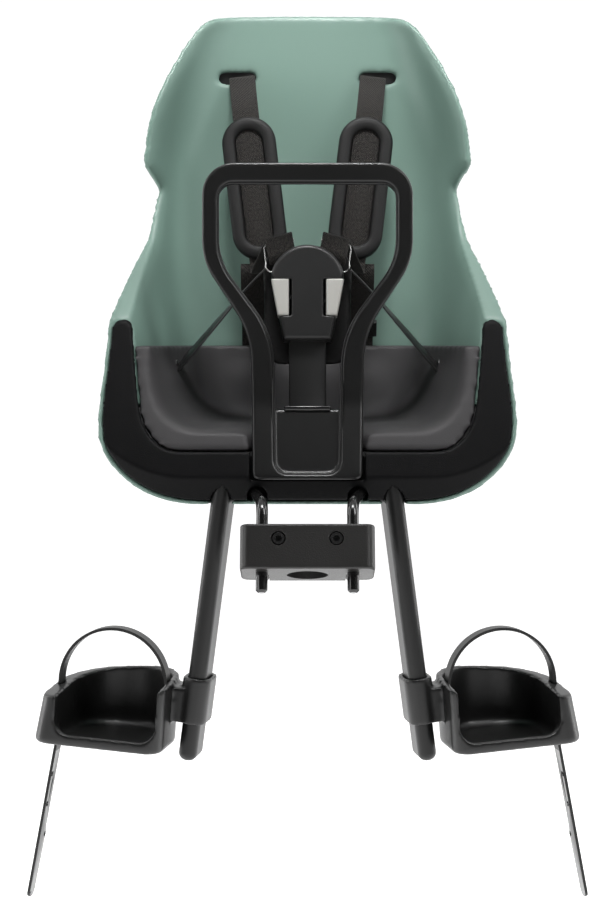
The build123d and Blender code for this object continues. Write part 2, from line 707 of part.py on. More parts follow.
# Carrier rod: two pins, two runs under the seat and the bar that joins them behind
pin_bottom = -BLOCK_HEIGHT / 2 - PIN_TIP
run_front = Vector(ROD_SPREAD / 2, ROD_FRONT, ROD_FRONT_RISE)
run_rear = Vector(ROD_SPREAD / 2, ROD_REAR, ROD_REAR_RISE)
half_path = [
    stem_point(PIN_SPACING / 2, -PIN_FORWARD, pin_bottom),
    stem_point(PIN_SPACING / 2, -PIN_FORWARD, ROD_BEND_RISE),
    run_front,
    run_rear,
]
rod_path = half_path + [Vector(-p.X, p.Y, p.Z) for p in reversed(half_path)]
rod_radii = [ROD_BEND_RADIUS, ROD_EASE_RADIUS, ROD_BEND_RADIUS]

with BuildPart() as carrier_rod:
    with BuildLine():
        FilletPolyline(*rod_path, radius=rod_radii + rod_radii[::-1])
    with BuildSketch(Plane(rod_path[0], z_dir=stem_plane.z_dir)):
        Circle(ROD_RADIUS)
    sweep()
    tips = carrier_rod.faces().filter_by(GeomType.PLANE)
    chamfer(tips.edges(), PIN_CHAMFER)
save(carrier_rod.part, "carrier_rod")

# Seat base: a tub under the cushion with rod beams, leg sockets and lugs for the handle
run_plane = Plane(
    run_front, x_dir=(1, 0, 0), z_dir=(run_rear - run_front).cross(Vector(-1, 0, 0))
)
clip_middle = BEAM_START + BEAM_LENGTH / 2
lug_middle = (LUG_INNER + LUG_OUTER) / 2
lug_front = base_back + HANDLE_CLEARANCE
lug_rear_plane = Plane(
    stem_point(0, FRONT_SETBACK + lug_front + LUG_DEPTH, HANDLE_SCREW_RISE),
    x_dir=(1, 0, 0),
    z_dir=stem_plane.y_dir,
)
socket_grow = SOCKET_FIT + SOCKET_WALL
socket_half = LEG_WIDTH / 2 + socket_grow
leg_bolt_plane = Plane(
    leg_plane.from_local_coords(Vector(-socket_half, 0, -LEG_BOLT_DROP)), z_dir=leg_plane.x_dir
)
crotch_pin_middle = Vector(0, front_y(CROTCH_PIN_RISE, CROTCH_SETBACK), CROTCH_PIN_RISE)

with BuildPart() as beam:
    with BuildSketch(run_plane):
        with Locations((0, clip_middle)):
            Rectangle(BEAM_WIDTH, BEAM_LENGTH)
    extrude(amount=BEAM_HEIGHT)

with BuildPart() as rod_groove:
    with BuildSketch(Plane(run_front, z_dir=run_rear - run_front)):
        Circle(ROD_RADIUS + CLIP_FIT)
    extrude(amount=2 * BEAM_LENGTH)

with BuildPart() as clip_screw_holes:
    with BuildSketch(run_plane.offset(-CLIP_HEIGHT)):
        with Locations((0, clip_middle)):
            with GridLocations(2 * CLIP_SCREW_OFFSET, CLIP_SPACING, 2, 2):
                Circle(SCREW_RADIUS + THREAD_CLEARANCE)
    extrude(amount=SCREW_LENGTH + SCREW_HEAD_HEIGHT)

with BuildPart() as lug:
    with BuildSketch(stem_plane.offset(LUG_BOTTOM)):
        with Locations((lug_middle, FRONT_SETBACK + lug_front)):
            Rectangle(LUG_OUTER - LUG_INNER, LUG_DEPTH, align=(Align.CENTER, Align.MIN))
    extrude(amount=LUG_TOP - LUG_BOTTOM)

with BuildPart() as leg_bolt_hole:
    with BuildSketch(leg_bolt_plane):
        Circle(LEG_BOLT_RADIUS + THREAD_CLEARANCE)
    extrude(amount=2 * socket_half)

with BuildPart() as handle_screw_holes:
    with BuildSketch(lug_rear_plane):
        with GridLocations(2 * lug_middle, 0, 2, 1):
            Circle(SCREW_RADIUS + THREAD_CLEARANCE)
    extrude(amount=-(LUG_DEPTH + HANDLE_CLEARANCE + HANDLE_SCREW_BITE))

base_left = [beam.part, lug.part, leg_bar(socket_grow, SOCKET_ROOF, -SOCKET_DEPTH)]
cuts_left = [
    rod_groove.part,
    clip_screw_holes.part,
    leg_bar(SOCKET_FIT, SOCKET_FIT, -LEG_OPENING_LENGTH),
    leg_bolt_hole.part,
]
with BuildPart() as crotch_pin_hole:
    with BuildSketch(Plane.YZ.offset(-CROTCH_PIN_LENGTH / 2 - FIT)):
        with Locations((crotch_pin_middle.Y, crotch_pin_middle.Z)):
            Circle(CROTCH_PIN_RADIUS + FIT)
    extrude(amount=CROTCH_PIN_LENGTH + 2 * FIT)

with BuildPart() as seat_base:
    add(cavity_wall)
    add(above(INNER_WALL_BOTTOM), mode=Mode.SUBTRACT)
    add(base_left + [mirrored(piece) for piece in base_left])
    add(cavity, mode=Mode.SUBTRACT)
    add(inner_limit, mode=Mode.INTERSECT)
    add(
        front_block.part.moved(Location((0, FASCIA_WALL + BASE_CLEARANCE, 0))),
        mode=Mode.INTERSECT,
    )
    add([handle_notch, strap_notch, crotch_pin_hole.part], mode=Mode.SUBTRACT)
    add(cuts_left + [mirrored(piece) for piece in cuts_left], mode=Mode.SUBTRACT)
    add(handle_screw_holes.part, mode=Mode.SUBTRACT)
save(seat_base.part, "seat_base")

# Rod clips: caps under the beams, each with two screws
with BuildPart() as clip_pair:
    with BuildSketch(run_plane):
        with Locations((0, clip_middle)):
            with GridLocations(0, CLIP_SPACING, 1, 2):
                Rectangle(BEAM_WIDTH, CLIP_LENGTH)
    extrude(amount=-CLIP_HEIGHT)
    add([rod_groove.part, clip_screw_holes.part], mode=Mode.SUBTRACT)
    with BuildSketch(run_plane.offset(-CLIP_HEIGHT)):
        with Locations((0, clip_middle)):
            with GridLocations(2 * CLIP_SCREW_OFFSET, CLIP_SPACING, 2, 2):
                Circle(SCREW_HEAD_RADIUS + BOLT_HOLE_CLEARANCE)
    extrude(amount=SCREW_HEAD_HEIGHT, mode=Mode.SUBTRACT)
with BuildPart() as rod_clips:
    add([clip_pair.part, mirrored(clip_pair.part)])
save(rod_clips.part, "rod_clips")

with BuildPart() as clip_screws:
    for radius, length in ((SCREW_HEAD_RADIUS, 0), (SCREW_RADIUS, SCREW_LENGTH)):
        with BuildSketch(run_plane.offset(-CLIP_HEIGHT)):
            with Locations((0, clip_middle)):
                with GridLocations(2 * CLIP_SCREW_OFFSET, CLIP_SPACING, 2, 2):
                    Circle(radius)
        extrude(amount=SCREW_HEAD_HEIGHT + length)
with BuildPart() as rod_clip_screws:
    add([clip_screws.part, mirrored(clip_screws.part)])
save(rod_clip_screws.part, "rod_clip_screws")

with BuildPart() as handle_screws:
    for radius, start, length in (
        (SCREW_HEAD_RADIUS, SCREW_HEAD_HEIGHT, SCREW_HEAD_HEIGHT),
        (SCREW_RADIUS, 0, LUG_DEPTH + HANDLE_CLEARANCE + HANDLE_SCREW_BITE),
    ):
        with BuildSketch(lug_rear_plane.offset(start)):
            with GridLocations(2 * lug_middle, 0, 2, 1):
                Circle(radius)
        extrude(amount=-length)
save(handle_screws.part, "handle_screws")

# Legs with their cross bolts
with BuildPart() as leg:
    add(leg_bar(0, 0, -LEG_LENGTH))
    fillet(leg.faces().sort_by(Axis.Z)[0].edges(), LEG_END)
    add(leg_bolt_hole.part, mode=Mode.SUBTRACT)
save_pair(leg.part, "leg")

with BuildPart() as leg_bolt:
    with BuildSketch(leg_bolt_plane):
        Circle(LEG_BOLT_HEAD_RADIUS)
    extrude(amount=-LEG_BOLT_HEAD_HEIGHT)
    with BuildSketch(leg_bolt_plane):
        Circle(LEG_BOLT_RADIUS)
    extrude(amount=2 * socket_half)
with BuildPart() as leg_bolts:
    add([leg_bolt.part, mirrored(leg_bolt.part)])
save(leg_bolts.part, "leg_bolts")

# Grab handle: the loop's front outline, cut to a side band that follows the front plane
# at the base and stands upright above the knee
handle_front_bottom = (front_y(HANDLE_RUN_BOTTOM, -HANDLE_PROUD), HANDLE_RUN_BOTTOM)
handle_rear_bottom = (front_y(HANDLE_RUN_BOTTOM, base_back), HANDLE_RUN_BOTTOM)
handle_front_knee = (front_y(HANDLE_KNEE, -HANDLE_PROUD), HANDLE_KNEE)
handle_front_top = (
    handle_front_knee[0] + (HANDLE_RUN_TOP - HANDLE_KNEE) * tan(radians(HANDLE_LEAN)),
    HANDLE_RUN_TOP,
)

with BuildPart() as handle_band:
    with BuildSketch(Plane.YZ):
        with BuildLine():
            FilletPolyline(
                handle_front_bottom, handle_front_knee, handle_front_top, radius=HANDLE_KNEE_RADIUS
            )
            FilletPolyline(
                handle_front_top,
                (handle_front_top[0] + HANDLE_DEPTH, HANDLE_RUN_TOP),
                (handle_front_knee[0] + HANDLE_DEPTH, HANDLE_KNEE + HANDLE_STEP),
                (front_y(HANDLE_STEP_RISE, base_back), HANDLE_STEP_RISE),
                handle_rear_bottom,
                radius=HANDLE_REAR_RADII,
            )
            Line(handle_rear_bottom, handle_front_bottom)
        make_face()
    extrude(amount=2 * HANDLE_HALF_WIDTH, both=True)

with BuildPart() as handle_web:
    with BuildSketch(Plane.XZ):
        with Locations((0, HANDLE_BOTTOM)):
            web_width = HANDLE_BASE_HALF + POCKET_HALF
            Rectangle(web_width, WEB_TOP - HANDLE_BOTTOM, align=(Align.CENTER, Align.MIN))
    extrude(amount=-REACH)
    add(ahead(REACH, base_back), mode=Mode.INTERSECT)
    add(ahead(REACH, base_back - WEB_THICKNESS), mode=Mode.SUBTRACT)

inner_half = HANDLE_HALF_WIDTH - HANDLE_ARM
inner_top = HANDLE_TOP - HANDLE_BAR
pocket_bottom = HANDLE_BOTTOM + POCKET_SILL
with BuildPart() as grab_handle:
    with BuildSketch(Plane.XZ):
        with BuildLine():
            FilletPolyline(
                (0, HANDLE_BOTTOM),
                (HANDLE_BASE_HALF, HANDLE_BOTTOM),
                (HANDLE_BASE_HALF + HANDLE_NECK_FLARE, HANDLE_NECK),
                (HANDLE_HALF_WIDTH, HANDLE_SHOULDER),
                (HANDLE_HALF_WIDTH, HANDLE_TOP),
                (0, HANDLE_TOP),
                radius=HANDLE_OUTER_RADII,
            )
            mirror(about=Plane.YZ)
        make_face()
        with BuildLine():
            FilletPolyline(
                (0, pocket_bottom),
                (POCKET_HALF, pocket_bottom),
                (POCKET_HALF + HANDLE_NECK_FLARE, HANDLE_NECK),
                (inner_half, HANDLE_SHOULDER),
                (inner_half, inner_top),
                (0, inner_top),
                radius=HANDLE_INNER_RADII,
            )
            mirror(about=Plane.YZ)
        make_face(mode=Mode.SUBTRACT)
    extrude(amount=-REACH)
    add(handle_band.part, mode=Mode.INTERSECT)
    add(handle_web.part)
    fronts = [face for face in grab_handle.faces() if face.normal_at().Y < -stem_sin]
    outline = [
        edge
        for edge in ShapeList(fronts).edges()
        if sum(edge.is_same(other) for other in ShapeList(fronts).edges()) == 1
    ]
    fillet(outline, HANDLE_EDGE)
    add(handle_screw_holes.part, mode=Mode.SUBTRACT)
save(grab_handle.part, "grab_handle")

# Shoulder straps: through the pad and the shell's slot to the keeper, and forward to the tongue
tongue_x = Vector(cos(radians(TONGUE_TURN)), -sin(radians(TONGUE_TURN)), 0)
tongue_plane = Plane(
    buckle_plane.from_local_coords(Vector(*TONGUE_MIDDLE, 0)),
    x_dir=buckle_plane.x_dir * tongue_x.X + buckle_plane.y_dir * tongue_x.Y,
    z_dir=buckle_plane.z_dir,
)
loop_gap = TONGUE_THICKNESS / 2 + FIT
loop_middle = loop_gap + WEBBING / 2

strap_back = pad_plane.y_dir * pad_along.Y + pad_plane.z_dir * pad_plane.z_dir.Y
strap_points = [
    pad_point(-strap_tail, 0),
    pad_point(PAD_LENGTH / 2, 0),
    pad_point(*STRAP_SLOT),
    pad_point(*STRAP_SLOT) + strap_back.normalized() * STRAP_BEHIND,
]
forward_points = [
    pad_point(-strap_tail + WEBBING, 0),
    tongue_plane.from_local_coords(Vector(0, TONGUE_BAR + FIT + WEBBING / 2, -loop_middle)),
]
forward_along = (forward_points[1] - forward_points[0]).normalized()
forward_across = tongue_plane.x_dir - forward_along * tongue_plane.x_dir.dot(forward_along)

with BuildPart() as tongue_loop:
    with BuildSketch(Plane(tongue_plane.origin, x_dir=tongue_plane.y_dir, z_dir=tongue_plane.x_dir)):
        with Locations((TONGUE_BAR / 2, 0)):
            loop_length = TONGUE_BAR + 2 * (FIT + WEBBING)
            Rectangle(loop_length, 2 * (loop_gap + WEBBING))
            Rectangle(TONGUE_BAR + 2 * FIT, 2 * loop_gap, mode=Mode.SUBTRACT)
    extrude(amount=STRAP_WIDTH / 2, both=True)

with BuildPart() as shoulder_strap:
    add(ribbon(strap_points, pad_plane.x_dir, STRAP_WIDTH, WEBBING))
    add(ribbon(forward_points, forward_across, STRAP_WIDTH, WEBBING))
    add(tongue_loop.part)
save_pair(shoulder_strap.part, "shoulder_strap")

with BuildPart() as shoulder_pad:
    with BuildSketch(pad_plane):
        SlotOverall(PAD_LENGTH, PAD_WIDTH, rotation=90)
        SlotOverall(
            PAD_LENGTH - 2 * PAD_BAND, PAD_WIDTH - 2 * PAD_BAND, rotation=90, mode=Mode.SUBTRACT
        )
    extrude(amount=PAD_THICKNESS / 2, both=True)
    with Locations(pad_plane):
        Box(STRAP_WIDTH + 2 * PAD_FIT, PAD_LENGTH, WEBBING + 2 * PAD_FIT, mode=Mode.SUBTRACT)
save_pair(shoulder_pad.part, "shoulder_pad")

# Keepers: blocks behind the shell's slots that hold the strap ends
with BuildPart() as strap_keeper:
    with Locations((SLOT_SPACING / 2, strap_points[-1].Y - KEEPER_FORWARD, SLOT_RISE)):
        Box(KEEPER_WIDTH, KEEPER_DEPTH, KEEPER_SECTION)
    add(bucket(outer_levels, -FIT), mode=Mode.SUBTRACT)
    add(
        ribbon(strap_points, pad_plane.x_dir, STRAP_WIDTH + 2 * FIT, WEBBING + 2 * FIT),
        mode=Mode.SUBTRACT,
    )
save_pair(strap_keeper.part, "strap_keeper")

lower_strap = ribbon(lower_points, Vector(1, 0, 0), STRAP_WIDTH, WEBBING)
save_pair(lower_strap, "lower_strap")

# Strap adjuster: a slide on the left lower strap only
lower_run = lower_points[2] - lower_points[1]
adjuster_plane = Plane(
    lower_points[1] + lower_run * ADJUSTER_PLACE, x_dir=(1, 0, 0), z_dir=Vector(1, 0, 0).cross(lower_run)
)
with BuildPart() as strap_adjuster:
    with Locations(adjuster_plane):
        Box(ADJUSTER_WIDTH, ADJUSTER_HEIGHT, ADJUSTER_THICKNESS)
    add(
        ribbon(lower_points, Vector(1, 0, 0), STRAP_WIDTH + 2 * FIT, WEBBING + 2 * FIT),
        mode=Mode.SUBTRACT,
    )
save(strap_adjuster.part, "strap_adjuster")

# Lap straps and the anchors behind the shell's inner wall
save_pair(ribbon(lap_points, lap_across, LAP_STRAP_WIDTH, WEBBING), "lap_strap")

with BuildPart() as lap_anchor:
    with Locations(Plane(LAP_END, x_dir=lap_across, z_dir=lap_along)):
        Box(LAP_ANCHOR_WIDTH, LAP_ANCHOR, LAP_ANCHOR)
    add(bucket(cavity_levels, -WALL - FIT, -WALL - FIT), mode=Mode.SUBTRACT)
    add(
        ribbon(lap_points, lap_across, LAP_STRAP_WIDTH + 2 * FIT, WEBBING + 2 * FIT),
        mode=Mode.SUBTRACT,
    )
save_pair(lap_anchor.part, "lap_anchor")

# Crotch strap: from a pin in the base up to the buckle
crotch_points = [
    crotch_pin_middle,
    Vector(0, front_y(CROTCH_BEND_RISE, CROTCH_SETBACK), CROTCH_BEND_RISE),
    buckle_plane.from_local_coords(Vector(0, -BUCKLE_STRAP_ENTRY, 0)),
    buckle_plane.from_local_coords(Vector(0, -BUCKLE_STRAP_END, 0)),
]
with BuildPart() as crotch_strap:
    add(ribbon(crotch_points, Vector(1, 0, 0), CROTCH_WIDTH, CROTCH_THICKNESS))
    for radius, mode in (
        (CROTCH_PIN_RADIUS + FIT + WEBBING, Mode.ADD),
        (CROTCH_PIN_RADIUS + FIT, Mode.SUBTRACT),
    ):
        with BuildSketch(Plane.YZ):
            with Locations((crotch_pin_middle.Y, crotch_pin_middle.Z)):
                Circle(radius)
        extrude(amount=CROTCH_WIDTH / 2, both=True, mode=mode)
save(crotch_strap.part, "crotch_strap")

with BuildPart() as crotch_pin:
    with BuildSketch(Plane.YZ):
        with Locations((crotch_pin_middle.Y, crotch_pin_middle.Z)):
            Circle(CROTCH_PIN_RADIUS)
    extrude(amount=CROTCH_PIN_LENGTH / 2, both=True)
save(crotch_pin.part, "crotch_pin")


# Buckle: two covers, two buttons pushed out by a leaf spring, and two tongues
def buckle_slab(grow, rear, front):
    """A slab of the buckle's outline between two depths, grown all round."""
    half_width = BUCKLE_HALF_WIDTH + grow
    foot_half = BUCKLE_FOOT_HALF + grow
    half_height = BUCKLE_HALF_HEIGHT + grow
    with BuildPart() as slab:
        with BuildSketch(buckle_plane.offset(rear)):
            with BuildLine():
                Polyline(
                    (-half_width, BUCKLE_SHOULDER),
                    (-foot_half, -half_height),
                    (foot_half, -half_height),
                    (half_width, BUCKLE_SHOULDER),
                )
                ThreePointArc(
                    (half_width, BUCKLE_SHOULDER), (0, half_height), (-half_width, BUCKLE_SHOULDER)
                )
            make_face()
        extrude(amount=front - rear)
    return slab.part


def button_block(inner, clearance):
    """The space of the left button, from an inner side outwards."""
    with BuildPart() as block:
        with BuildSketch(buckle_plane.offset(BUTTON_REAR - clearance)):
            with Locations((inner, BUTTON_BOTTOM - clearance)):
                Rectangle(
                    BUCKLE_HALF_WIDTH,
                    BUTTON_TOP - BUTTON_BOTTOM + 2 * clearance,
                    align=(Align.MIN, Align.MIN),
                )
        extrude(amount=2 * (BUCKLE_FRONT_DEPTH + BUCKLE_REAR_DEPTH))
    return block.part


with BuildPart() as tongue:
    with BuildSketch(tongue_plane):
        frame_drop = TONGUE_SLOT + TONGUE_RAIL
        with Locations((0, -frame_drop)):
            Rectangle(TONGUE_WIDTH, TONGUE_BAR + frame_drop, align=(Align.CENTER, Align.MIN))
        with Locations((0, -TONGUE_SLOT)):
            Rectangle(
                STRAP_WIDTH + 2 * STRAP_CLEARANCE,
                TONGUE_SLOT,
                align=(Align.CENTER, Align.MIN),
                mode=Mode.SUBTRACT,
            )
        with Locations((0, -TONGUE_SLOT)):
            Rectangle(
                TONGUE_BLADE, TONGUE_REACH - TONGUE_SLOT, align=(Align.CENTER, Align.MAX)
            )
    extrude(amount=TONGUE_THICKNESS / 2, both=True)
    with BuildSketch(buckle_plane):
        with Locations(TONGUE_TAB[:2]):
            Rectangle(*TONGUE_TAB[2:])
    extrude(amount=TONGUE_THICKNESS / 2, both=True)
save_pair(tongue.part, "buckle_tongue")

with BuildPart() as tongue_room:
    with BuildSketch(tongue_plane):
        with Locations((0, -TONGUE_SLOT - TONGUE_RAIL - FIT)):
            Rectangle(TONGUE_WIDTH + 2 * FIT, REACH, align=(Align.CENTER, Align.MIN))
    extrude(amount=loop_gap + WEBBING + STRAP_CLEARANCE, both=True)
    with BuildSketch(tongue_plane):
        Rectangle(TONGUE_BLADE + 2 * FIT, 2 * (TONGUE_REACH + FIT))
    extrude(amount=TONGUE_THICKNESS / 2 + FIT, both=True)

with BuildPart() as strap_room:
    with BuildSketch(buckle_plane):
        with Locations((0, -BUCKLE_STRAP_END + FIT)):
            Rectangle(
                CROTCH_WIDTH + 2 * FIT, BUCKLE_HALF_HEIGHT, align=(Align.CENTER, Align.MAX)
            )
    extrude(amount=CROTCH_THICKNESS / 2 + FIT, both=True)

window = button_block(BUTTON_INNER - BUTTON_TRAVEL - BUTTON_CLEARANCE, BUTTON_CLEARANCE)
rooms = [window, mirrored(window), strap_room.part, tongue_room.part, mirrored(tongue_room.part)]

for name, depth in (("buckle_front", BUCKLE_FRONT_DEPTH), ("buckle_rear", -BUCKLE_REAR_DEPTH)):
    inner_depth = depth * (1 - BUCKLE_WALL / abs(depth))
    with BuildPart() as cover:
        add(buckle_slab(0, min(0, depth), max(0, depth)))
        outside = cover.faces().sort_by(Axis(buckle_plane.origin, buckle_plane.z_dir * depth))[-1]
        fillet(outside.edges(), BUCKLE_EDGE)
        add(
            buckle_slab(-BUCKLE_WALL, min(0, inner_depth), max(0, inner_depth)), mode=Mode.SUBTRACT
        )
        add(rooms, mode=Mode.SUBTRACT)
    save(cover.part, name)

with BuildPart() as button:
    add(buckle_slab(BUTTON_PROUD, BUTTON_REAR, BUCKLE_FRONT_DEPTH + BUTTON_PROUD))
    add(button_block(BUTTON_INNER, 0), mode=Mode.INTERSECT)
    button_front = button.faces().sort_by(Axis(buckle_plane.origin, buckle_plane.z_dir))[-1]
    fillet(button_front.edges(), BUTTON_EDGE)
save_pair(button.part, "buckle_button")

spring_half = BUTTON_INNER - SPRING_LEAF
spring_points = [(-spring_half, SPRING_RISE)]
for i in range(2 * SPRING_WAVES):
    swing = SPRING_SWING if i % 2 == 0 else -SPRING_SWING
    spring_points.append((spring_half * ((i + 0.5) / SPRING_WAVES - 1), SPRING_RISE + swing))
spring_points.append((spring_half, SPRING_RISE))
with BuildPart() as buckle_spring:
    with BuildSketch(buckle_plane):
        with BuildLine():
            FilletPolyline(*spring_points, radius=SPRING_LEAF)
        trace(line_width=SPRING_LEAF)
    extrude(amount=SPRING_DEPTH)
save(buckle_spring.part, "buckle_spring")

with BuildPart() as buckle_pad:
    with BuildSketch(buckle_plane.offset(-BUCKLE_REAR_DEPTH - BUCKLE_PAD_GAP)):
        with Locations((0, (BUCKLE_PAD_TOP + BUCKLE_PAD_BOTTOM) / 2)):
            RectangleRounded(
                2 * BUCKLE_PAD_HALF, BUCKLE_PAD_TOP - BUCKLE_PAD_BOTTOM, BUCKLE_PAD_CORNER
            )
    extrude(amount=-BUCKLE_PAD_THICKNESS)
save(buckle_pad.part, "buckle_pad")

# Footrests: a sleeve that slides on the leg, with a heel cup beside it
leg_end = leg_plane.offset(-LEG_LENGTH)
tilt_sin, tilt_cos = sin(radians(CUP_TILT)), cos(radians(CUP_TILT))
cup_plane = Plane(
    leg_end.from_local_coords(Vector(CUP_START, 0, CUP_RISE)),
    x_dir=leg_end.x_dir * tilt_cos - leg_end.z_dir * tilt_sin,
    z_dir=leg_end.z_dir * tilt_cos + leg_end.x_dir * tilt_sin,
)
rim_corners = [
    cup_plane.from_local_coords(Vector(*corner))
    for corner in (
        (0, CUP_REAR, CUP_RIM_INNER),
        (CUP_LENGTH, CUP_REAR, CUP_RIM_OUTER),
        (0, CUP_FRONT, CUP_RIM_FRONT),
    )
]
rim_across = rim_corners[1] - rim_corners[0]
rim_forward = rim_corners[2] - rim_corners[0]
rim_plane = Plane(rim_corners[0], x_dir=rim_across, z_dir=rim_forward.cross(rim_across))
strap_plane = Plane(
    cup_plane.from_local_coords(Vector(0, FOOT_STRAP_Y, 0)),
    x_dir=cup_plane.x_dir,
    z_dir=-cup_plane.y_dir,
)
cup_inside = CUP_LENGTH - CUP_OUTER_WALL
strap_inner_x = CUP_WALL + FOOT_STRAP_GAP + FOOT_STRAP_THICKNESS / 2
strap_outer_x = CUP_LENGTH - FOOT_STRAP_OUTER


def cup_block(near, far, draft, wall, bottom):
    """A block of the cup's plan, drawn in by a wall at the front and rear, with a leaning side."""
    with BuildPart() as block:
        for height, lean in ((bottom, 0), (CUP_HEIGHT, draft)):
            with BuildSketch(cup_plane.offset(height)) as plan:
                with Locations((near, CUP_FRONT + wall)):
                    Rectangle(
                        far - lean - near,
                        CUP_REAR - CUP_FRONT - 2 * wall,
                        align=(Align.MIN, Align.MIN),
                    )
                fillet(plan.vertices().group_by(Axis.Y)[-1], CUP_REAR_CORNER - wall)
                fillet(plan.vertices().group_by(Axis.Y)[0], CUP_FRONT_CORNER - wall)
        loft()
    return block.part


with BuildPart() as cup_body:
    add(cup_block(0, CUP_LENGTH, CUP_DRAFT, 0, 0))
    underside = cup_body.faces().sort_by(Axis(cup_plane.origin, cup_plane.z_dir))[0]
    fillet(underside.edges(), CUP_EDGE)
    split(bisect_by=rim_plane, keep=Keep.BOTTOM)

with BuildPart() as cup_hollow:
    add(cup_block(CUP_WALL, cup_inside, 0, CUP_WALL, CUP_FLOOR))
    hollow_floor = cup_hollow.faces().sort_by(Axis(cup_plane.origin, cup_plane.z_dir))[0]
    fillet(hollow_floor.edges(), CUP_FLOOR_ROUND)

with BuildPart() as footrest:
    add(cup_body.part)
    with BuildSketch(leg_end.offset(SLEEVE_BOTTOM)):
        with Locations((0, (LINK_FRONT + LINK_REAR) / 2)):
            Rectangle(
                CUP_START + CUP_WALL / 2, LINK_REAR - LINK_FRONT, align=(Align.MIN, Align.CENTER)
            )
    extrude(amount=CUP_RISE + CUP_RIM_FRONT - SLEEVE_BOTTOM)
    add(leg_bar(SLEEVE_CLEARANCE + SLEEVE_WALL, SLEEVE_TOP - LEG_LENGTH, SLEEVE_BOTTOM - LEG_LENGTH))
    add(cup_hollow.part, mode=Mode.SUBTRACT)
    add(leg_bar(SLEEVE_CLEARANCE, 0, -LEG_LENGTH), mode=Mode.SUBTRACT)
    with BuildSketch(Plane(cup_plane.origin, x_dir=cup_plane.x_dir, z_dir=-cup_plane.y_dir)) as mouth:
        with Locations((CUP_WALL, CUP_LIP)):
            Rectangle(cup_inside - CUP_WALL, CUP_HEIGHT, align=(Align.MIN, Align.MIN))
        fillet(mouth.vertices().group_by(Axis.Y)[0], CUP_LIP_CORNER)
    extrude(amount=-2 * CUP_FRONT, mode=Mode.SUBTRACT)
    with BuildSketch(cup_plane):
        with Locations((strap_outer_x, FOOT_STRAP_Y)):
            Rectangle(
                FOOT_STRAP_THICKNESS + FOOT_SLOT_CLEARANCE, FOOT_STRAP_WIDTH + FOOT_SLOT_CLEARANCE
            )
    extrude(amount=CUP_HEIGHT, mode=Mode.SUBTRACT)
save_pair(footrest.part, "footrest")

# Foot straps: over the foot, down through the cup's outer wall and on as a tail with holes
tail_along = (Vector(*FOOT_STRAP_END) - Vector(strap_outer_x, FOOT_STRAP_EXIT)).normalized()
tail_plane = Plane(
    strap_plane.from_local_coords(Vector(*FOOT_STRAP_END)),
    x_dir=cup_plane.y_dir,
    z_dir=strap_plane.y_dir * tail_along.X - strap_plane.x_dir * tail_along.Y,
)
with BuildPart() as foot_strap:
    with BuildSketch(strap_plane):
        with BuildLine():
            Line((strap_inner_x, FOOT_STRAP_START), (strap_inner_x, FOOT_STRAP_SPRING_LINE))
            ThreePointArc(
                (strap_inner_x, FOOT_STRAP_SPRING_LINE),
                ((strap_inner_x + strap_outer_x) / 2, FOOT_STRAP_CROWN),
                (strap_outer_x, FOOT_STRAP_SPRING_LINE),
            )
            FilletPolyline(
                (strap_outer_x, FOOT_STRAP_SPRING_LINE),
                (strap_outer_x, FOOT_STRAP_EXIT),
                FOOT_STRAP_END,
                radius=FOOT_STRAP_FOLD,
            )
        trace(line_width=FOOT_STRAP_THICKNESS)
    extrude(amount=FOOT_STRAP_WIDTH / 2, both=True)
    tail_face = foot_strap.faces().sort_by(Axis.Z)[0]
    fillet(tail_face.edges().sort_by(SortBy.LENGTH)[:2], TAIL_ROUND)
    with BuildSketch(tail_plane):
        with Locations((0, TAIL_HOLE_RISE + TAIL_HOLE_SPACING)):
            with GridLocations(0, TAIL_HOLE_SPACING, 1, 3):
                Circle(TAIL_HOLE_RADIUS)
    extrude(amount=FOOT_STRAP_THICKNESS, both=True, mode=Mode.SUBTRACT)
save_pair(foot_strap.part, "foot_strap")
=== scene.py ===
# %% [markdown]
# # A front child seat for a bicycle
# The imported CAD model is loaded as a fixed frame. This lesson dresses it: rigid mouldings get
# their finish, and the foam, rubber and webbing are remade as soft pieces that sit where the
# plain solids are. Lengths are metres in the CAD model's own frame. The stations of straps, wires
# and pads are listed in millimetres, and are scaled when they are built.

from math import cos, pi, radians, sin, sqrt, tan

import bmesh
import bpy
from mathutils import Euler, Matrix, Vector


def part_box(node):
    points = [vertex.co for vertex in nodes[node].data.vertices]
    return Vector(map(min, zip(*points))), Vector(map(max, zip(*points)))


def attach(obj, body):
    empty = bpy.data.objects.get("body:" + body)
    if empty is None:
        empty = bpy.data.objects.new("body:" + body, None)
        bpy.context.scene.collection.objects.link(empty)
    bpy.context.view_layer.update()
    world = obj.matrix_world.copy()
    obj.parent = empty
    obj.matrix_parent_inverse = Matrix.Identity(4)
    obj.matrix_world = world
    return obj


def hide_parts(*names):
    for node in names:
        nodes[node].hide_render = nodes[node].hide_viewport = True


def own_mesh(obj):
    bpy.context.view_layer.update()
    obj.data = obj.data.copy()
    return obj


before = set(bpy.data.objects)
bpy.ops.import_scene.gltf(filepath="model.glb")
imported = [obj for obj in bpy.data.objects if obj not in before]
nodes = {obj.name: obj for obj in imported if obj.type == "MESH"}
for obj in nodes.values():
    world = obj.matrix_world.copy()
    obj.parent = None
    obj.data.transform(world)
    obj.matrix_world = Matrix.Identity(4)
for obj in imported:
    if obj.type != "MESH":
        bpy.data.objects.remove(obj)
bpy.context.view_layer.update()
MM = 0.001
STEM_LEAN = radians(20)  # the clamp and the seat's front lean back this far
CREASE = radians(35)  # sharper edges than this stay sharp

# %% [markdown]
# ## Camera and light
# The photo was taken from the front, a little above the handle, with a long lens. The lens is
# 65 mm on a 36 mm sensor, and a small shift moves the seat right of the middle as in the photo.
# The light is a white studio: a pale floor well below the seat, a bright sky and soft boxes.

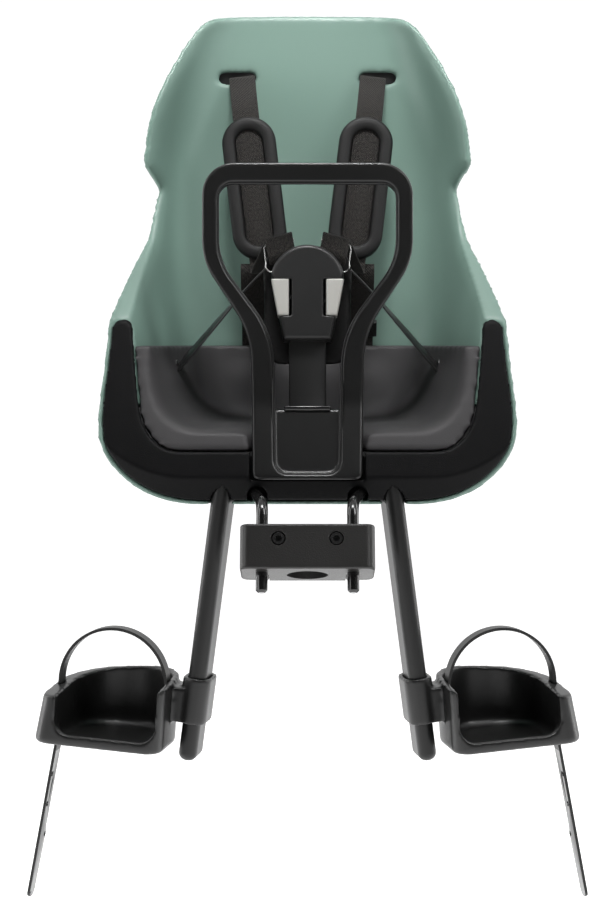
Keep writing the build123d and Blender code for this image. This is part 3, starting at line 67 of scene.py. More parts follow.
# %% Camera
PHOTO_HEIGHT = 911  # pixels
PHOTO_SHIFT = 7.5  # pixels
CAMERA_PITCH = radians(3.9)
camera_data = bpy.data.cameras.new("photo_camera")
camera_data.lens = 65
camera_data.sensor_width = 36
camera_data.shift_x = -PHOTO_SHIFT / PHOTO_HEIGHT
camera = bpy.data.objects.new("photo_camera", camera_data)
camera.location = (0, -1.373, 0.176)
camera.rotation_euler = (pi / 2 - CAMERA_PITCH, 0, 0)
bpy.context.collection.objects.link(camera)
bpy.context.scene.camera = camera
print("camera at", tuple(camera.location))


# %% Studio light
def soft_box(name, place, aim, width, height, watts):
    """An area light that faces a point."""
    data = bpy.data.lights.new(name, "AREA")
    data.shape = "RECTANGLE"
    data.size = width
    data.size_y = height
    data.energy = watts
    lamp = bpy.data.objects.new(name, data)
    lamp.location = place
    lamp.rotation_euler = (Vector(aim) - Vector(place)).to_track_quat("-Z", "Y").to_euler()
    bpy.context.collection.objects.link(lamp)
    return lamp


# The sky lights the seat from behind and is darker in front, so black faces stay black. The
# camera itself sees plain white on every side.
world = bpy.data.worlds.new("studio_white")
world.use_nodes = True
sky = world.node_tree
sky_place = sky.nodes.new("ShaderNodeTexCoord")
sky_split = sky.nodes.new("ShaderNodeSeparateXYZ")
sky_range = sky.nodes.new("ShaderNodeMapRange")
sky_range.inputs["From Min"].default_value = -0.6
sky_range.inputs["From Max"].default_value = 0.5
sky_range.inputs["To Min"].default_value = 0.05
sky_range.inputs["To Max"].default_value = 1.05
sky.links.new(sky_place.outputs["Generated"], sky_split.inputs[0])
sky.links.new(sky_split.outputs["Y"], sky_range.inputs["Value"])
sky_ray = sky.nodes.new("ShaderNodeLightPath")
sky_seen = sky.nodes.new("ShaderNodeMath")
sky_seen.operation = "MAXIMUM"
sky.links.new(sky_range.outputs["Result"], sky_seen.inputs[0])
sky.links.new(sky_ray.outputs["Is Camera Ray"], sky_seen.inputs[1])
sky.links.new(sky_seen.outputs[0], sky.nodes["Background"].inputs["Strength"])
sky.nodes["Background"].inputs["Color"].default_value = (1, 1, 1, 1)
bpy.context.scene.world = world
bpy.context.scene.view_settings.view_transform = "Standard"
soft_box("key_right", (1.1, -0.8, 1.3), (0, 0.1, 0.15), 0.4, 0.8, 11)
soft_box("fill_left", (-1.3, -0.5, 0.7), (0, 0.1, 0.1), 0.4, 1.2, 5)
soft_box("top_front", (0.0, -0.5, 1.8), (0, 0.12, 0.25), 1.2, 0.4, 12)
back_pool = soft_box("back_pool", (0.0, -0.4, 1.5), (0, 0.24, 0.44), 0.3, 0.3, 1.3)
back_pool.data.spread = radians(44)
soft_box("strip_right", (1.2, 0.35, 0.2), (0, 0.08, 0.1), 0.2, 1.6, 6)
soft_box("strip_left", (-1.2, 0.35, 0.2), (0, 0.08, 0.1), 0.2, 1.6, 6)
print("soft boxes: 6")

# %% Pale floor
floor_mesh = bpy.data.meshes.new("studio_floor")
floor_mesh.from_pydata(
    [(-6, -4, -0.5), (6, -4, -0.5), (6, 8, -0.5), (-6, 8, -0.5)], [], [(0, 1, 2, 3)]
)
floor = bpy.data.objects.new("studio_floor", floor_mesh)
bpy.context.collection.objects.link(floor)
floor_paint = bpy.data.materials.new("studio_floor")
floor_paint.use_nodes = True
floor_shader = floor_paint.node_tree.nodes["Principled BSDF"]
floor_shader.inputs["Base Color"].default_value = (0.96, 0.96, 0.96, 1)
floor_shader.inputs["Roughness"].default_value = 0.9
floor_shader.inputs["Emission Color"].default_value = (1, 1, 1, 1)
floor_shader.inputs["Emission Strength"].default_value = 0.55
floor_mesh.materials.append(floor_paint)
print("floor at", floor_mesh.vertices[0].co.z)

# %% [markdown]
# ## Shared surface effects
# Moulded plastic has a fine spark-eroded grain and slow colour drift, and webbing has a coarse
# weave of light and dark yarns. Each effect is a shader node group, built once and placed in
# every material that needs it with its own numbers.


# %% Node helpers
def new_group(name, inputs, outputs):
    """An empty shader group with named sockets. Returns the tree, its input and output nodes."""
    tree = bpy.data.node_groups.new(name, "ShaderNodeTree")
    for label, kind, value in inputs:
        socket = tree.interface.new_socket(label, in_out="INPUT", socket_type=kind)
        if value is not None:
            socket.default_value = value
    for label, kind in outputs:
        tree.interface.new_socket(label, in_out="OUTPUT", socket_type=kind)
    return tree, tree.nodes.new("NodeGroupInput"), tree.nodes.new("NodeGroupOutput")


def maths(tree, operation, first, second):
    """One Math node on two sockets or numbers."""
    node = tree.nodes.new("ShaderNodeMath")
    node.operation = operation
    for slot, value in zip(node.inputs, (first, second)):
        if isinstance(value, (int, float)):
            slot.default_value = value
        else:
            tree.links.new(value, slot)
    return node.outputs[0]


# %% Moulded grain
grain, grain_in, grain_out = new_group(
    "moulded_grain",
    [("Vector", "NodeSocketVector", None), ("Size", "NodeSocketFloat", 1500.0)],
    [("Height", "NodeSocketFloat"), ("Drift", "NodeSocketFloat")],
)
spark = grain.nodes.new("ShaderNodeTexVoronoi")
spark.feature = "F1"
spark.inputs["Randomness"].default_value = 1.0
grain.links.new(grain_in.outputs["Vector"], spark.inputs["Vector"])
grain.links.new(grain_in.outputs["Size"], spark.inputs["Scale"])
drift = grain.nodes.new("ShaderNodeTexNoise")
drift.inputs["Scale"].default_value = 9.0
drift.inputs["Detail"].default_value = 3.0
grain.links.new(grain_in.outputs["Vector"], drift.inputs["Vector"])
grain.links.new(spark.outputs["Distance"], grain_out.inputs["Height"])
grain.links.new(drift.outputs["Fac"], grain_out.inputs["Drift"])
print("group:", grain.name)

# %% Webbing weave
weave, weave_in, weave_out = new_group(
    "webbing_weave",
    [("UV", "NodeSocketVector", None), ("Yarns", "NodeSocketFloat", 1100.0)],
    [("Height", "NodeSocketFloat"), ("Yarn", "NodeSocketFloat")],
)
split = weave.nodes.new("ShaderNodeSeparateXYZ")
weave.links.new(weave_in.outputs["UV"], split.inputs[0])
yarns = weave_in.outputs["Yarns"]
warp = maths(weave, "SINE", maths(weave, "MULTIPLY", split.outputs[0], yarns), 0)
fill = maths(weave, "SINE", maths(weave, "MULTIPLY", split.outputs[1], yarns), 0)
crossing = maths(weave, "MULTIPLY", warp, fill)
melange = weave.nodes.new("ShaderNodeTexNoise")
melange.inputs["Scale"].default_value = 900.0
melange.inputs["Detail"].default_value = 2.0
stretch = weave.nodes.new("ShaderNodeMapping")
stretch.inputs["Scale"].default_value = (1.0, 0.45, 1.0)
weave.links.new(weave_in.outputs["UV"], stretch.inputs["Vector"])
weave.links.new(stretch.outputs["Vector"], melange.inputs["Vector"])
weave.links.new(crossing, weave_out.inputs["Height"])
weave.links.new(melange.outputs["Fac"], weave_out.inputs["Yarn"])
print("group:", weave.name)


# %% Moulded finish
def moulded(name, colour, rough, size=1500.0, bump=0.12, drift=0.12, coat=0.0, metal=0.0, spec=0.5):
    """A moulded or painted finish with fine grain, a slow colour drift and an uneven gloss."""
    material = bpy.data.materials.new(name)
    material.use_nodes = True
    tree = material.node_tree
    shader = tree.nodes["Principled BSDF"]
    place = tree.nodes.new("ShaderNodeTexCoord")
    effect = tree.nodes.new("ShaderNodeGroup")
    effect.node_tree = grain
    effect.inputs["Size"].default_value = size
    tree.links.new(place.outputs["Object"], effect.inputs["Vector"])
    shade = tree.nodes.new("ShaderNodeMix")
    shade.data_type = "RGBA"
    shade.inputs["A"].default_value = (*[c * (1 - drift) for c in colour], 1)
    shade.inputs["B"].default_value = (*[c * (1 + drift) for c in colour], 1)
    tree.links.new(effect.outputs["Drift"], shade.inputs["Factor"])
    tree.links.new(shade.outputs["Result"], shader.inputs["Base Color"])
    gloss = maths(tree, "MULTIPLY_ADD", effect.outputs["Drift"], 0.12)
    gloss.node.inputs[2].default_value = rough - 0.06
    tree.links.new(gloss, shader.inputs["Roughness"])
    relief = tree.nodes.new("ShaderNodeBump")
    relief.inputs["Strength"].default_value = bump
    relief.inputs["Distance"].default_value = 0.0003
    tree.links.new(effect.outputs["Height"], relief.inputs["Height"])
    tree.links.new(relief.outputs["Normal"], shader.inputs["Normal"])
    shader.inputs["Metallic"].default_value = metal
    shader.inputs["Coat Weight"].default_value = coat
    shader.inputs["Specular IOR Level"].default_value = spec
    return material


shell_green = moulded("shell_green", (0.138, 0.218, 0.184), 0.44, size=2600, bump=0.05, drift=0.04)
fascia_black = moulded("fascia_black", (0.003, 0.003, 0.0033), 0.5, size=1300, bump=0.3, spec=0.1)
handle_black = moulded("handle_black", (0.006, 0.006, 0.006), 0.3, size=1700, bump=0.15, spec=0.45)
foam_dark = moulded("foam_dark", (0.024, 0.0225, 0.024), 0.62, size=1400, bump=0.3, drift=0.15)
pad_rubber = moulded("pad_rubber", (0.006, 0.006, 0.006), 0.55, size=1900, bump=0.15, spec=0.22)
rod_gloss = moulded("rod_gloss", (0.006, 0.006, 0.006), 0.2, size=900, bump=0.03, coat=0.4)
clamp_speckled = moulded("clamp_speckled", (0.013, 0.0125, 0.012), 0.36, size=900, bump=0.4)
bolt_black = moulded("bolt_black", (0.05, 0.05, 0.05), 0.28, size=900, bump=0.05, metal=0.8)
leg_black = moulded("leg_black", (0.008, 0.008, 0.008), 0.34, size=1900, bump=0.1, spec=0.4)
footrest_black = moulded("footrest_black", (0.007, 0.007, 0.007), 0.33, size=1700, bump=0.15)
buckle_black = moulded("buckle_black", (0.01, 0.01, 0.01), 0.4, size=1500, bump=0.2, spec=0.4)
button_grey = moulded("button_grey", (0.34, 0.336, 0.315), 0.4, size=1500, bump=0.12, drift=0.04)
bare_steel = moulded("bare_steel", (0.62, 0.62, 0.61), 0.26, size=700, bump=0.05, metal=1.0)
chassis_black = moulded("chassis_black", (0.01, 0.01, 0.01), 0.45, size=1200, bump=0.2)
print("moulded finishes:", len(bpy.data.materials) - 1)


# %% Foot strap finish, with painted light
def rubber_with_painted_light(name):
    """Black rubber whose tail is painted pale on the side that faces the middle of the seat, a painted
    highlight for the light on that face.
    """
    material = moulded(name, (0.009, 0.009, 0.009), 0.4, size=1600, bump=0.12, spec=0.4)
    tree = material.node_tree
    shader = tree.nodes["Principled BSDF"]
    black = shader.inputs["Base Color"].links[0].from_socket
    place = tree.nodes.new("ShaderNodeTexCoord")
    facing = tree.nodes.new("ShaderNodeSeparateXYZ")
    tree.links.new(place.outputs["Normal"], facing.inputs[0])
    spot = tree.nodes.new("ShaderNodeSeparateXYZ")
    tree.links.new(place.outputs["Object"], spot.inputs[0])
    inward = maths(tree, "MULTIPLY", facing.outputs["X"], maths(tree, "SIGN", spot.outputs["X"], 0))
    painted_light_face = maths(tree, "LESS_THAN", inward, -0.5)
    on_tail = maths(tree, "LESS_THAN", spot.outputs["Z"], -0.188)
    # The pale grey on the tail's inner face is painted light, not a colour of the rubber.
    mix = tree.nodes.new("ShaderNodeMix")
    mix.data_type = "RGBA"
    mix.inputs["B"].default_value = (0.3, 0.3, 0.3, 1)
    tree.links.new(maths(tree, "MULTIPLY", painted_light_face, on_tail), mix.inputs["Factor"])
    tree.links.new(black, mix.inputs["A"])
    tree.links.new(mix.outputs["Result"], shader.inputs["Base Color"])
    return material


strap_rubber_painted_light = rubber_with_painted_light("strap_rubber_painted_light")
print("foot strap finish:", strap_rubber_painted_light.name)


# %% Webbing finish
def woven(name, dark, light, yarns):
    """Webbing of light and dark yarns on the piece's own UV map, which is in metres."""
    material = bpy.data.materials.new(name)
    material.use_nodes = True
    tree = material.node_tree
    shader = tree.nodes["Principled BSDF"]
    place = tree.nodes.new("ShaderNodeUVMap")
    place.uv_map = "strap_uv"
    effect = tree.nodes.new("ShaderNodeGroup")
    effect.node_tree = weave
    effect.inputs["Yarns"].default_value = yarns
    tree.links.new(place.outputs["UV"], effect.inputs["UV"])
    contrast = tree.nodes.new("ShaderNodeMapRange")
    contrast.inputs["From Min"].default_value = 0.36
    contrast.inputs["From Max"].default_value = 0.68
    tree.links.new(effect.outputs["Yarn"], contrast.inputs["Value"])
    shade = tree.nodes.new("ShaderNodeMix")
    shade.data_type = "RGBA"
    shade.inputs["A"].default_value = (*dark, 1)
    shade.inputs["B"].default_value = (*light, 1)
    tree.links.new(contrast.outputs["Result"], shade.inputs["Factor"])
    tree.links.new(shade.outputs["Result"], shader.inputs["Base Color"])
    relief = tree.nodes.new("ShaderNodeBump")
    relief.inputs["Strength"].default_value = 0.7
    relief.inputs["Distance"].default_value = 0.0004
    tree.links.new(effect.outputs["Height"], relief.inputs["Height"])
    tree.links.new(relief.outputs["Normal"], shader.inputs["Normal"])
    shader.inputs["Roughness"].default_value = 0.85
    shader.inputs["Sheen Weight"].default_value = 0.06
    shader.inputs["Specular IOR Level"].default_value = 0.25
    return material


webbing_melange = woven("webbing_melange", (0.0035, 0.0032, 0.003), (0.03, 0.027, 0.024), 2600)
print("webbing:", webbing_melange.name)

# %% [markdown]
# ## Rigid pieces
# Metal and hidden pieces keep their CAD node and only get a finish. The mouldings that show have
# rounded edges that the plain solids lack. Most get a copy of their CAD mesh, which is merged,
# remeshed in small voxels and smoothed, and which then stands for the node.


# %% Helpers for pieces
VOXEL_TILT = Euler((0.6, 0.45, 0.3))  # off every long edge of the seat


def settle(piece, body, slot, material, *stands_for):
    """Gives a finished piece its finish and body, and hides the CAD nodes that it stands for. Its slot is
    not used.
    """
    piece.data.materials.clear()
    piece.data.materials.append(material)
    piece.data.shade_smooth()
    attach(piece, body)
    if stands_for:
        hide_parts(*stands_for)


def new_piece(name, mesh):
    """A mesh as a new object in the scene."""
    piece = bpy.data.objects.new(name, mesh)
    bpy.context.collection.objects.link(piece)
    return piece


def built(build, name):
    """The mesh being built as a new object."""
    mesh = bpy.data.meshes.new(name)
    build.to_mesh(mesh)
    build.free()
    return new_piece(name, mesh)


def share(value):
    """A value held between nothing and one."""
    return min(1, max(0, value))


def bevelled_box(name, middle, size, rounding, segments):
    """A box with rounded edges."""
    build = bmesh.new()
    bmesh.ops.create_cube(build, size=1)
    for vertex in build.verts:
        vertex.co = middle + vertex.co * size
    bmesh.ops.bevel(
        build, geom=build.edges[:], offset=rounding, segments=segments, profile=0.5, affect="EDGES"
    )
    return built(build, name)


def copy_of(node, name):
    """A copy of a CAD node's mesh with its loose triangles merged."""
    mesh = nodes[node].data.copy()
    mesh.name = name
    build = bmesh.new()
    build.from_mesh(mesh)
    bmesh.ops.remove_doubles(build, verts=build.verts, dist=0.00002)
    build.to_mesh(mesh)
    build.free()
    return new_piece(name, mesh)


def bake(piece):
    """Applies all modifiers of a piece."""
    shown = piece.evaluated_get(bpy.context.evaluated_depsgraph_get())
    mesh = bpy.data.meshes.new_from_object(shown)
    piece.modifiers.clear()
    piece.data = mesh
    mesh.name = piece.name


def rounded_copy(node, name, voxel, turns, turned=False):
    """A CAD node's copy with softly rounded edges: small voxels, then smoothing.

    The voxels may be turned, which keeps long slanted edges free of steps."""
    piece = copy_of(node, name)
    tilt = VOXEL_TILT.to_matrix().to_4x4() if turned else Matrix()
    piece.data.transform(tilt)
    remesh = piece.modifiers.new("voxels", "REMESH")
    remesh.mode = "VOXEL"
    remesh.voxel_size = voxel
    smooth = piece.modifiers.new("rounding", "SMOOTH")
    smooth.factor = 0.5
    smooth.iterations = turns
    bake(piece)
    piece.data.transform(tilt.inverted())
    return piece


def ease_by_weight(piece, weights, turns):
    """Adds a smoothing that works on each vertex by its weight, in a number of turns."""
    group = piece.vertex_groups.new(name="eased")
    for index, weight in enumerate(weights):
        group.add([index], weight, "REPLACE")
    ease = piece.modifiers.new("ease", "SMOOTH")
    ease.factor = 0.5
    ease.iterations = turns
    ease.vertex_group = "eased"


# %% Finishes of the CAD nodes
finishes = {
    "seat_base": chassis_black,
    "handle_screws": bare_steel,
    "carrier_rod": rod_gloss,
    "rod_clips": chassis_black,
    "rod_clip_screws": bare_steel,
    "leg_left": leg_black,
    "leg_right": leg_black,
    "leg_bolts": bare_steel,
    "clamp_block": clamp_speckled,
    "clamp_bolts": bolt_black,
    "clamp_nuts": bare_steel,
    "crotch_pin": bare_steel,
    "buckle_rear": buckle_black,
}
for side in ("left", "right"):
    finishes[f"lap_anchor_{side}"] = chassis_black
for name, material in finishes.items():
    nodes[name].data.materials.clear()
    nodes[name].data.materials.append(material)
print("finished nodes:", len(finishes))

# %% Clamp yoke
# The yoke's foot is drawn down to the block's underside, so the stem's bore is closed all round.
YOKE_DRAW = 0.0098
YOKE_FOOT = 0.0005  # vertices this close to the lowest one are in the foot
stem_up = Vector((0, sin(STEM_LEAN), cos(STEM_LEAN)))
yoke = copy_of("clamp_yoke", "yoke_moulding")
foot = min(vertex.co.dot(stem_up) for vertex in yoke.data.vertices)
for vertex in yoke.data.vertices:
    if vertex.co.dot(stem_up) < foot + YOKE_FOOT:
        vertex.co -= stem_up * YOKE_DRAW
settle(yoke, "mount_block", "clamp", clamp_speckled, "clamp_yoke")
yoke.data.shade_flat()
print("yoke foot:", foot)

# %% Strap keepers
# Each keeper is a rounded plate behind the shell, which closes the view through the strap slot.
KEEPER_EXTRA = 0.006
KEEPER_RISE = Vector((0, 0, 0.003))
KEEPER_HEIGHT = 0.026
KEEPER_ROUNDING = 0.003
for side in ("left", "right"):
    low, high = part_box(f"strap_keeper_{side}")
    size = Vector((high.x - low.x + KEEPER_EXTRA, high.y - low.y, KEEPER_HEIGHT))
    middle = (low + high) / 2 + KEEPER_RISE
    keeper = bevelled_box(f"keeper_plate_{side}", middle, size, KEEPER_ROUNDING, 4)
    settle(keeper, "seat", "trim", chassis_black, f"strap_keeper_{side}")
print("keepers: 2")


# %% Bucket shell
# The face towards the child is smoothed further, clear of the rims, the cushion and the slots.
CHILD_DEPTH = 0.12
CUSHION_TOP = 0.185
BACK_TOP = 0.475
SLOT_PLACE = (0.0633, 0.43)
SLOT_HALF = (0.022, 0.016)
SLOT_MARGIN = 0.02


def inside_weight(place, normal):
    """One on the face towards the child, nothing at the rims, the cushion and the strap slots."""
    facing = normal.dot((Vector((0, CHILD_DEPTH, place.z)) - place).normalized())
    weight = share((facing - 0.5) / 0.3)
    weight *= share((place.z - CUSHION_TOP) / 0.025) * share((BACK_TOP - place.z) / 0.02)
    beside = abs(abs(place.x) - SLOT_PLACE[0]) - SLOT_HALF[0]
    above = abs(place.z - SLOT_PLACE[1]) - SLOT_HALF[1]
    return weight * share(max(beside, above) / SLOT_MARGIN)


shell = rounded_copy("seat_shell", "shell_moulding", 0.0024, 14, turned=True)
ease_by_weight(shell, [inside_weight(v.co, v.normal) for v in shell.data.vertices], 90)
bake(shell)
shell.vertex_groups.clear()
settle(shell, "seat", "shell", shell_green, "seat_shell")
print("shell faces:", len(shell.data.polygons))

# %% Fascia
# The flat tops of the two arms are drawn down at their corners into half circles.
ARM_END = 0.02
ARM_TIP = 0.006
fascia = rounded_copy("front_fascia", "fascia_moulding", 0.0014, 4)
arm_top = max(vertex.co.z for vertex in fascia.data.vertices)
for side in (-1, 1):
    arm = [v for v in fascia.data.vertices if v.co.x * side > 0 and v.co.z > arm_top - ARM_END]
    tip = [v.co.x for v in arm if v.co.z > arm_top - ARM_TIP]
    middle, radius = (min(tip) + max(tip)) / 2, (max(tip) - min(tip)) / 2
    for vertex in arm:
        rise = vertex.co.z - (arm_top - radius)
        offset = min(1, abs(vertex.co.x - middle) / radius)
        if rise > 0:
            vertex.co.z -= rise * (1 - sqrt(1 - offset**2))
settle(fascia, "seat", "fascia", fascia_black, "front_fascia")
print("fascia faces:", len(fascia.data.polygons))

# %% Other rounded mouldings
handle = rounded_copy("grab_handle", "handle_moulding", 0.0012, 7)
settle(handle, "seat", "handle", handle_black, "grab_handle")
adjuster = rounded_copy("strap_adjuster", "adjuster_moulding", 0.0007, 3)
settle(adjuster, "seat", "trim", buckle_black, "strap_adjuster")
buckle = rounded_copy("buckle_front", "buckle_moulding", 0.0009, 5)
settle(buckle, "seat", "buckle", buckle_black, "buckle_front")
for side in ("left", "right"):
    button = rounded_copy(f"buckle_button_{side}", f"button_moulding_{side}", 0.0006, 12)
    settle(button, f"button_{side}", "button", button_grey, f"buckle_button_{side}")
for side in ("left", "right"):
    cup = rounded_copy(f"footrest_{side}", f"footrest_moulding_{side}", 0.0013, 9)
    settle(cup, f"footrest_{side}", "footrest", footrest_black, f"footrest_{side}")
print("handle faces:", len(handle.data.polygons), "buckle faces:", len(buckle.data.polygons))

# %% Buckle spring
# The leaf spring is cut in the middle into two halves, one on the side of each button.
for side, stands_for in (("left", ["buckle_spring"]), ("right", [])):
    low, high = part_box(f"buckle_button_{side}")
    outward = 1 if low.x + high.x > 0 else -1
    half = copy_of("buckle_spring", f"spring_half_{side}")
    build = bmesh.new()
    build.from_mesh(half.data)
    whole = build.verts[:] + build.edges[:] + build.faces[:]
    bmesh.ops.bisect_plane(
        build, geom=whole, plane_co=(0, 0, 0), plane_no=(-outward, 0, 0), clear_outer=True
    )
    bmesh.ops.holes_fill(build, edges=[edge for edge in build.edges if edge.is_boundary])
    build.to_mesh(half.data)
    build.free()
    settle(half, "seat", "spring", chassis_black, *stands_for)
    half.data.set_sharp_from_angle(angle=CREASE)
    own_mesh(half)
print("spring halves: 2")

# %% Foot straps
# The tail of each strap hangs a little closer to the leg than the plain solid, with a slight wave.
TAIL_TOP = -0.195
TAIL_LEAN = 0.085  # metres inwards per metre of drop
TAIL_WAVE = 0.0016
TAIL_WAVE_RATE = 60
TAIL_WAVE_START = 0.03  # the wave reaches its full size at this drop
for side in ("left", "right"):
    strap = copy_of(f"foot_strap_{side}", f"foot_strap_rubber_{side}")
    for vertex in strap.data.vertices:
        drop = max(0, TAIL_TOP - vertex.co.z)
        outward = 1 if vertex.co.x > 0 else -1
        wave = TAIL_WAVE * sin(drop * TAIL_WAVE_RATE) * min(1, drop / TAIL_WAVE_START)
        vertex.co.x -= outward * (TAIL_LEAN * drop - wave)
    settle(strap, f"footrest_{side}", "foot_strap", strap_rubber_painted_light, f"foot_strap_{side}")
    strap.data.set_sharp_from_angle(angle=CREASE)
print("foot straps: 2")

# %% [markdown]
# ## Foam and rubber
# The seat liner is a thick foam tub. Its copy is remeshed and swollen by a short cloth run with
# air pressure. The faces that lie on the shell are pinned, so only the face that the child sits
# on and the front lip swell, and those faces are smoothed once more. The buckle's pad is made the
# same way. The shoulder pads are firm rubber rings, which are modelled directly.


# %% Swollen copy of a soft node
CLOTH_STEPS = 15


def swollen(node, name, voxel, turns, cap, free, ease_turns):
    """A soft node's copy, rounded and swollen. free(place, normal) is how loose a point is.

    The loose faces are smoothed again after the swelling, in a number of turns."""
    piece = rounded_copy(node, name, voxel, turns)
    mesh = piece.data
    rest = [vertex.co.copy() for vertex in mesh.vertices]
    loose = [free(vertex.co, vertex.normal) for vertex in mesh.vertices]
    pins = piece.vertex_groups.new(name="pins")
    for index, weight in enumerate(loose):
        pins.add([index], 1 - weight, "REPLACE")
    cloth = piece.modifiers.new("air", "CLOTH")
    cloth.settings.quality = 4
    cloth.settings.use_pressure = True
    cloth.settings.uniform_pressure_force = 4
    cloth.settings.effector_weights.gravity = 0
    cloth.settings.vertex_group_mass = "pins"
    for step in range(1, CLOTH_STEPS + 1):
        bpy.context.scene.frame_set(step)
    shown = piece.evaluated_get(bpy.context.evaluated_depsgraph_get())
    moved = [vertex.co.copy() for vertex in shown.data.vertices]
    piece.modifiers.clear()
    piece.vertex_groups.clear()
    bpy.context.scene.frame_set(1)
    for vertex, start, end, weight in zip(mesh.vertices, rest, moved, loose):
        shift = (end - start) * weight
        vertex.co = start + shift * min(1, cap / max(shift.length, 1e-9))
    ease_by_weight(piece, loose, ease_turns)
    finer = piece.modifiers.new("finer", "SUBSURF")
    finer.levels = 1
    finer.render_levels = 1
    bake(piece)
    piece.vertex_groups.clear()
    return piece


# %% Foam liner
LINER_TOP = 0.172
seat_middle = Vector((0, 0.125, 0.21))


def liner_looseness(place, normal):
    """One on the face towards the child and on the front lip, nothing on the faces in the shell."""
    facing = normal.dot((seat_middle - place).normalized())
    below_rim = share((LINER_TOP - place.z) / 0.02)
    return below_rim * share(facing * 2 + 0.2)


liner = swollen("seat_cushion", "foam_liner", 0.0034, 2, 0.004, liner_looseness, 60)
settle(liner, "seat", "foam", foam_dark, "seat_cushion")
print("liner faces:", len(liner.data.polygons))


# %% Shoulder pads
# A pad is a rubber ring with a rounded section, moulded round a thin sole behind the strap.
pad_middle = Vector((50, 187, 321.5))
pad_up = Vector((0.1165, 0.2185, 0.9687)).normalized()
pad_front = Vector((0.026, -0.976, 0.217)).normalized()
pad_right = pad_up.cross(pad_front)
PAD_HALF = (25.5, 69.5)
PAD_BAND = 6.3  # half the width of the ring's section
PAD_DEEP = 6.0  # half its depth
PAD_POWER = 0.62  # below 1, the section is squarer than an ellipse
PAD_STEPS = 96
SECTION_STEPS = 20
SOLE_HALF = (20, 64)
SOLE_FRONT = -2.4
SOLE_REAR = -4.4


def stadium(half_width, half_length, count):
    """Points and outward directions round a slot shape, longer along its second axis."""
    places = []
    for k in range(count):
        angle = 2 * pi * k / count
        out = Vector((cos(angle), sin(angle)))
        shift = (half_length - half_width) * (1 if out.y >= 0 else -1)
        places.append((out * half_width + Vector((0, shift)), out))
    return places


def pad_ring(name, mirrored):
    """The ring and the sole of one shoulder pad, in the frame of the strap."""
    flip = Vector((-1, 1, 1)) if mirrored else Vector((1, 1, 1))

    def put(x, y, z):
        place = pad_middle + pad_right * x + pad_up * y + pad_front * z
        return build.verts.new(place * flip * MM)

    build = bmesh.new()
    rings = []
    for place, out in stadium(PAD_HALF[0] - PAD_BAND, PAD_HALF[1] - PAD_BAND, PAD_STEPS):
        ring = []
        for k in range(SECTION_STEPS):
            angle = 2 * pi * k / SECTION_STEPS
            c, s = cos(angle), sin(angle)
            across = PAD_BAND * (abs(c) ** PAD_POWER) * (1 if c > 0 else -1)
            rise = PAD_DEEP * (abs(s) ** PAD_POWER) * (1 if s > 0 else -1)
            ring.append(put(place.x + out.x * across, place.y + out.y * across, rise))
        rings.append(ring)
    for i, ring in enumerate(rings):
        after = rings[(i + 1) % len(rings)]
        for k in range(SECTION_STEPS):
            m = (k + 1) % SECTION_STEPS
            build.faces.new((ring[k], ring[m], after[m], after[k]))
    front = [put(place.x, place.y, SOLE_FRONT) for place, _ in stadium(*SOLE_HALF, PAD_STEPS)]
    rear = [put(place.x, place.y, SOLE_REAR) for place, _ in stadium(*SOLE_HALF, PAD_STEPS)]
    build.faces.new(front)
    build.faces.new(rear[::-1])
    for k in range(PAD_STEPS):
        m = (k + 1) % PAD_STEPS
        build.faces.new((front[m], front[k], rear[k], rear[m]))
    bmesh.ops.recalc_face_normals(build, faces=build.faces)
    return built(build, name)


for side, mirrored in (("left", False), ("right", True)):
    pad = pad_ring(f"shoulder_pad_rubber_{side}", mirrored)
    settle(pad, "seat", "pad", pad_rubber, f"shoulder_pad_{side}")
print("shoulder pads: 2")


# %% Buckle pad
def all_loose(place, normal):
    """Every point is loose."""
    return 1.0


buckle_pad = swollen("buckle_pad", "buckle_pad_rubber", 0.002, 6, 0.001, all_loose, 1)
settle(buckle_pad, "seat", "pad", pad_rubber, "buckle_pad")
print("buckle pad faces:", len(buckle_pad.data.polygons))

# %% [markdown]
# ## Webbing
# A strap is a flat ribbon with a little thickness. Its middle line runs smoothly through a few
# stations, and each station says which way the ribbon lies. The UV map is in metres along and
# across the ribbon, so the weave has the same size on every strap.


# %% Ribbon builder
def curve_through(values, steps):
    """A smooth line through vectors, with a number of steps between each two."""
    line = []
    for i in range(len(values) - 1):
        before, start = values[max(i - 1, 0)], values[i]
        end, after = values[i + 1], values[min(i + 2, len(values) - 1)]
        for k in range(steps):
            t = k / steps
            line.append(
                0.5
                * (
                    2 * start
                    + (end - before) * t
                    + (2 * before - 5 * start + 4 * end - after) * t**2
                    + (3 * start - before - 3 * end + after) * t**3
                )
            )
    return line + [values[-1]]


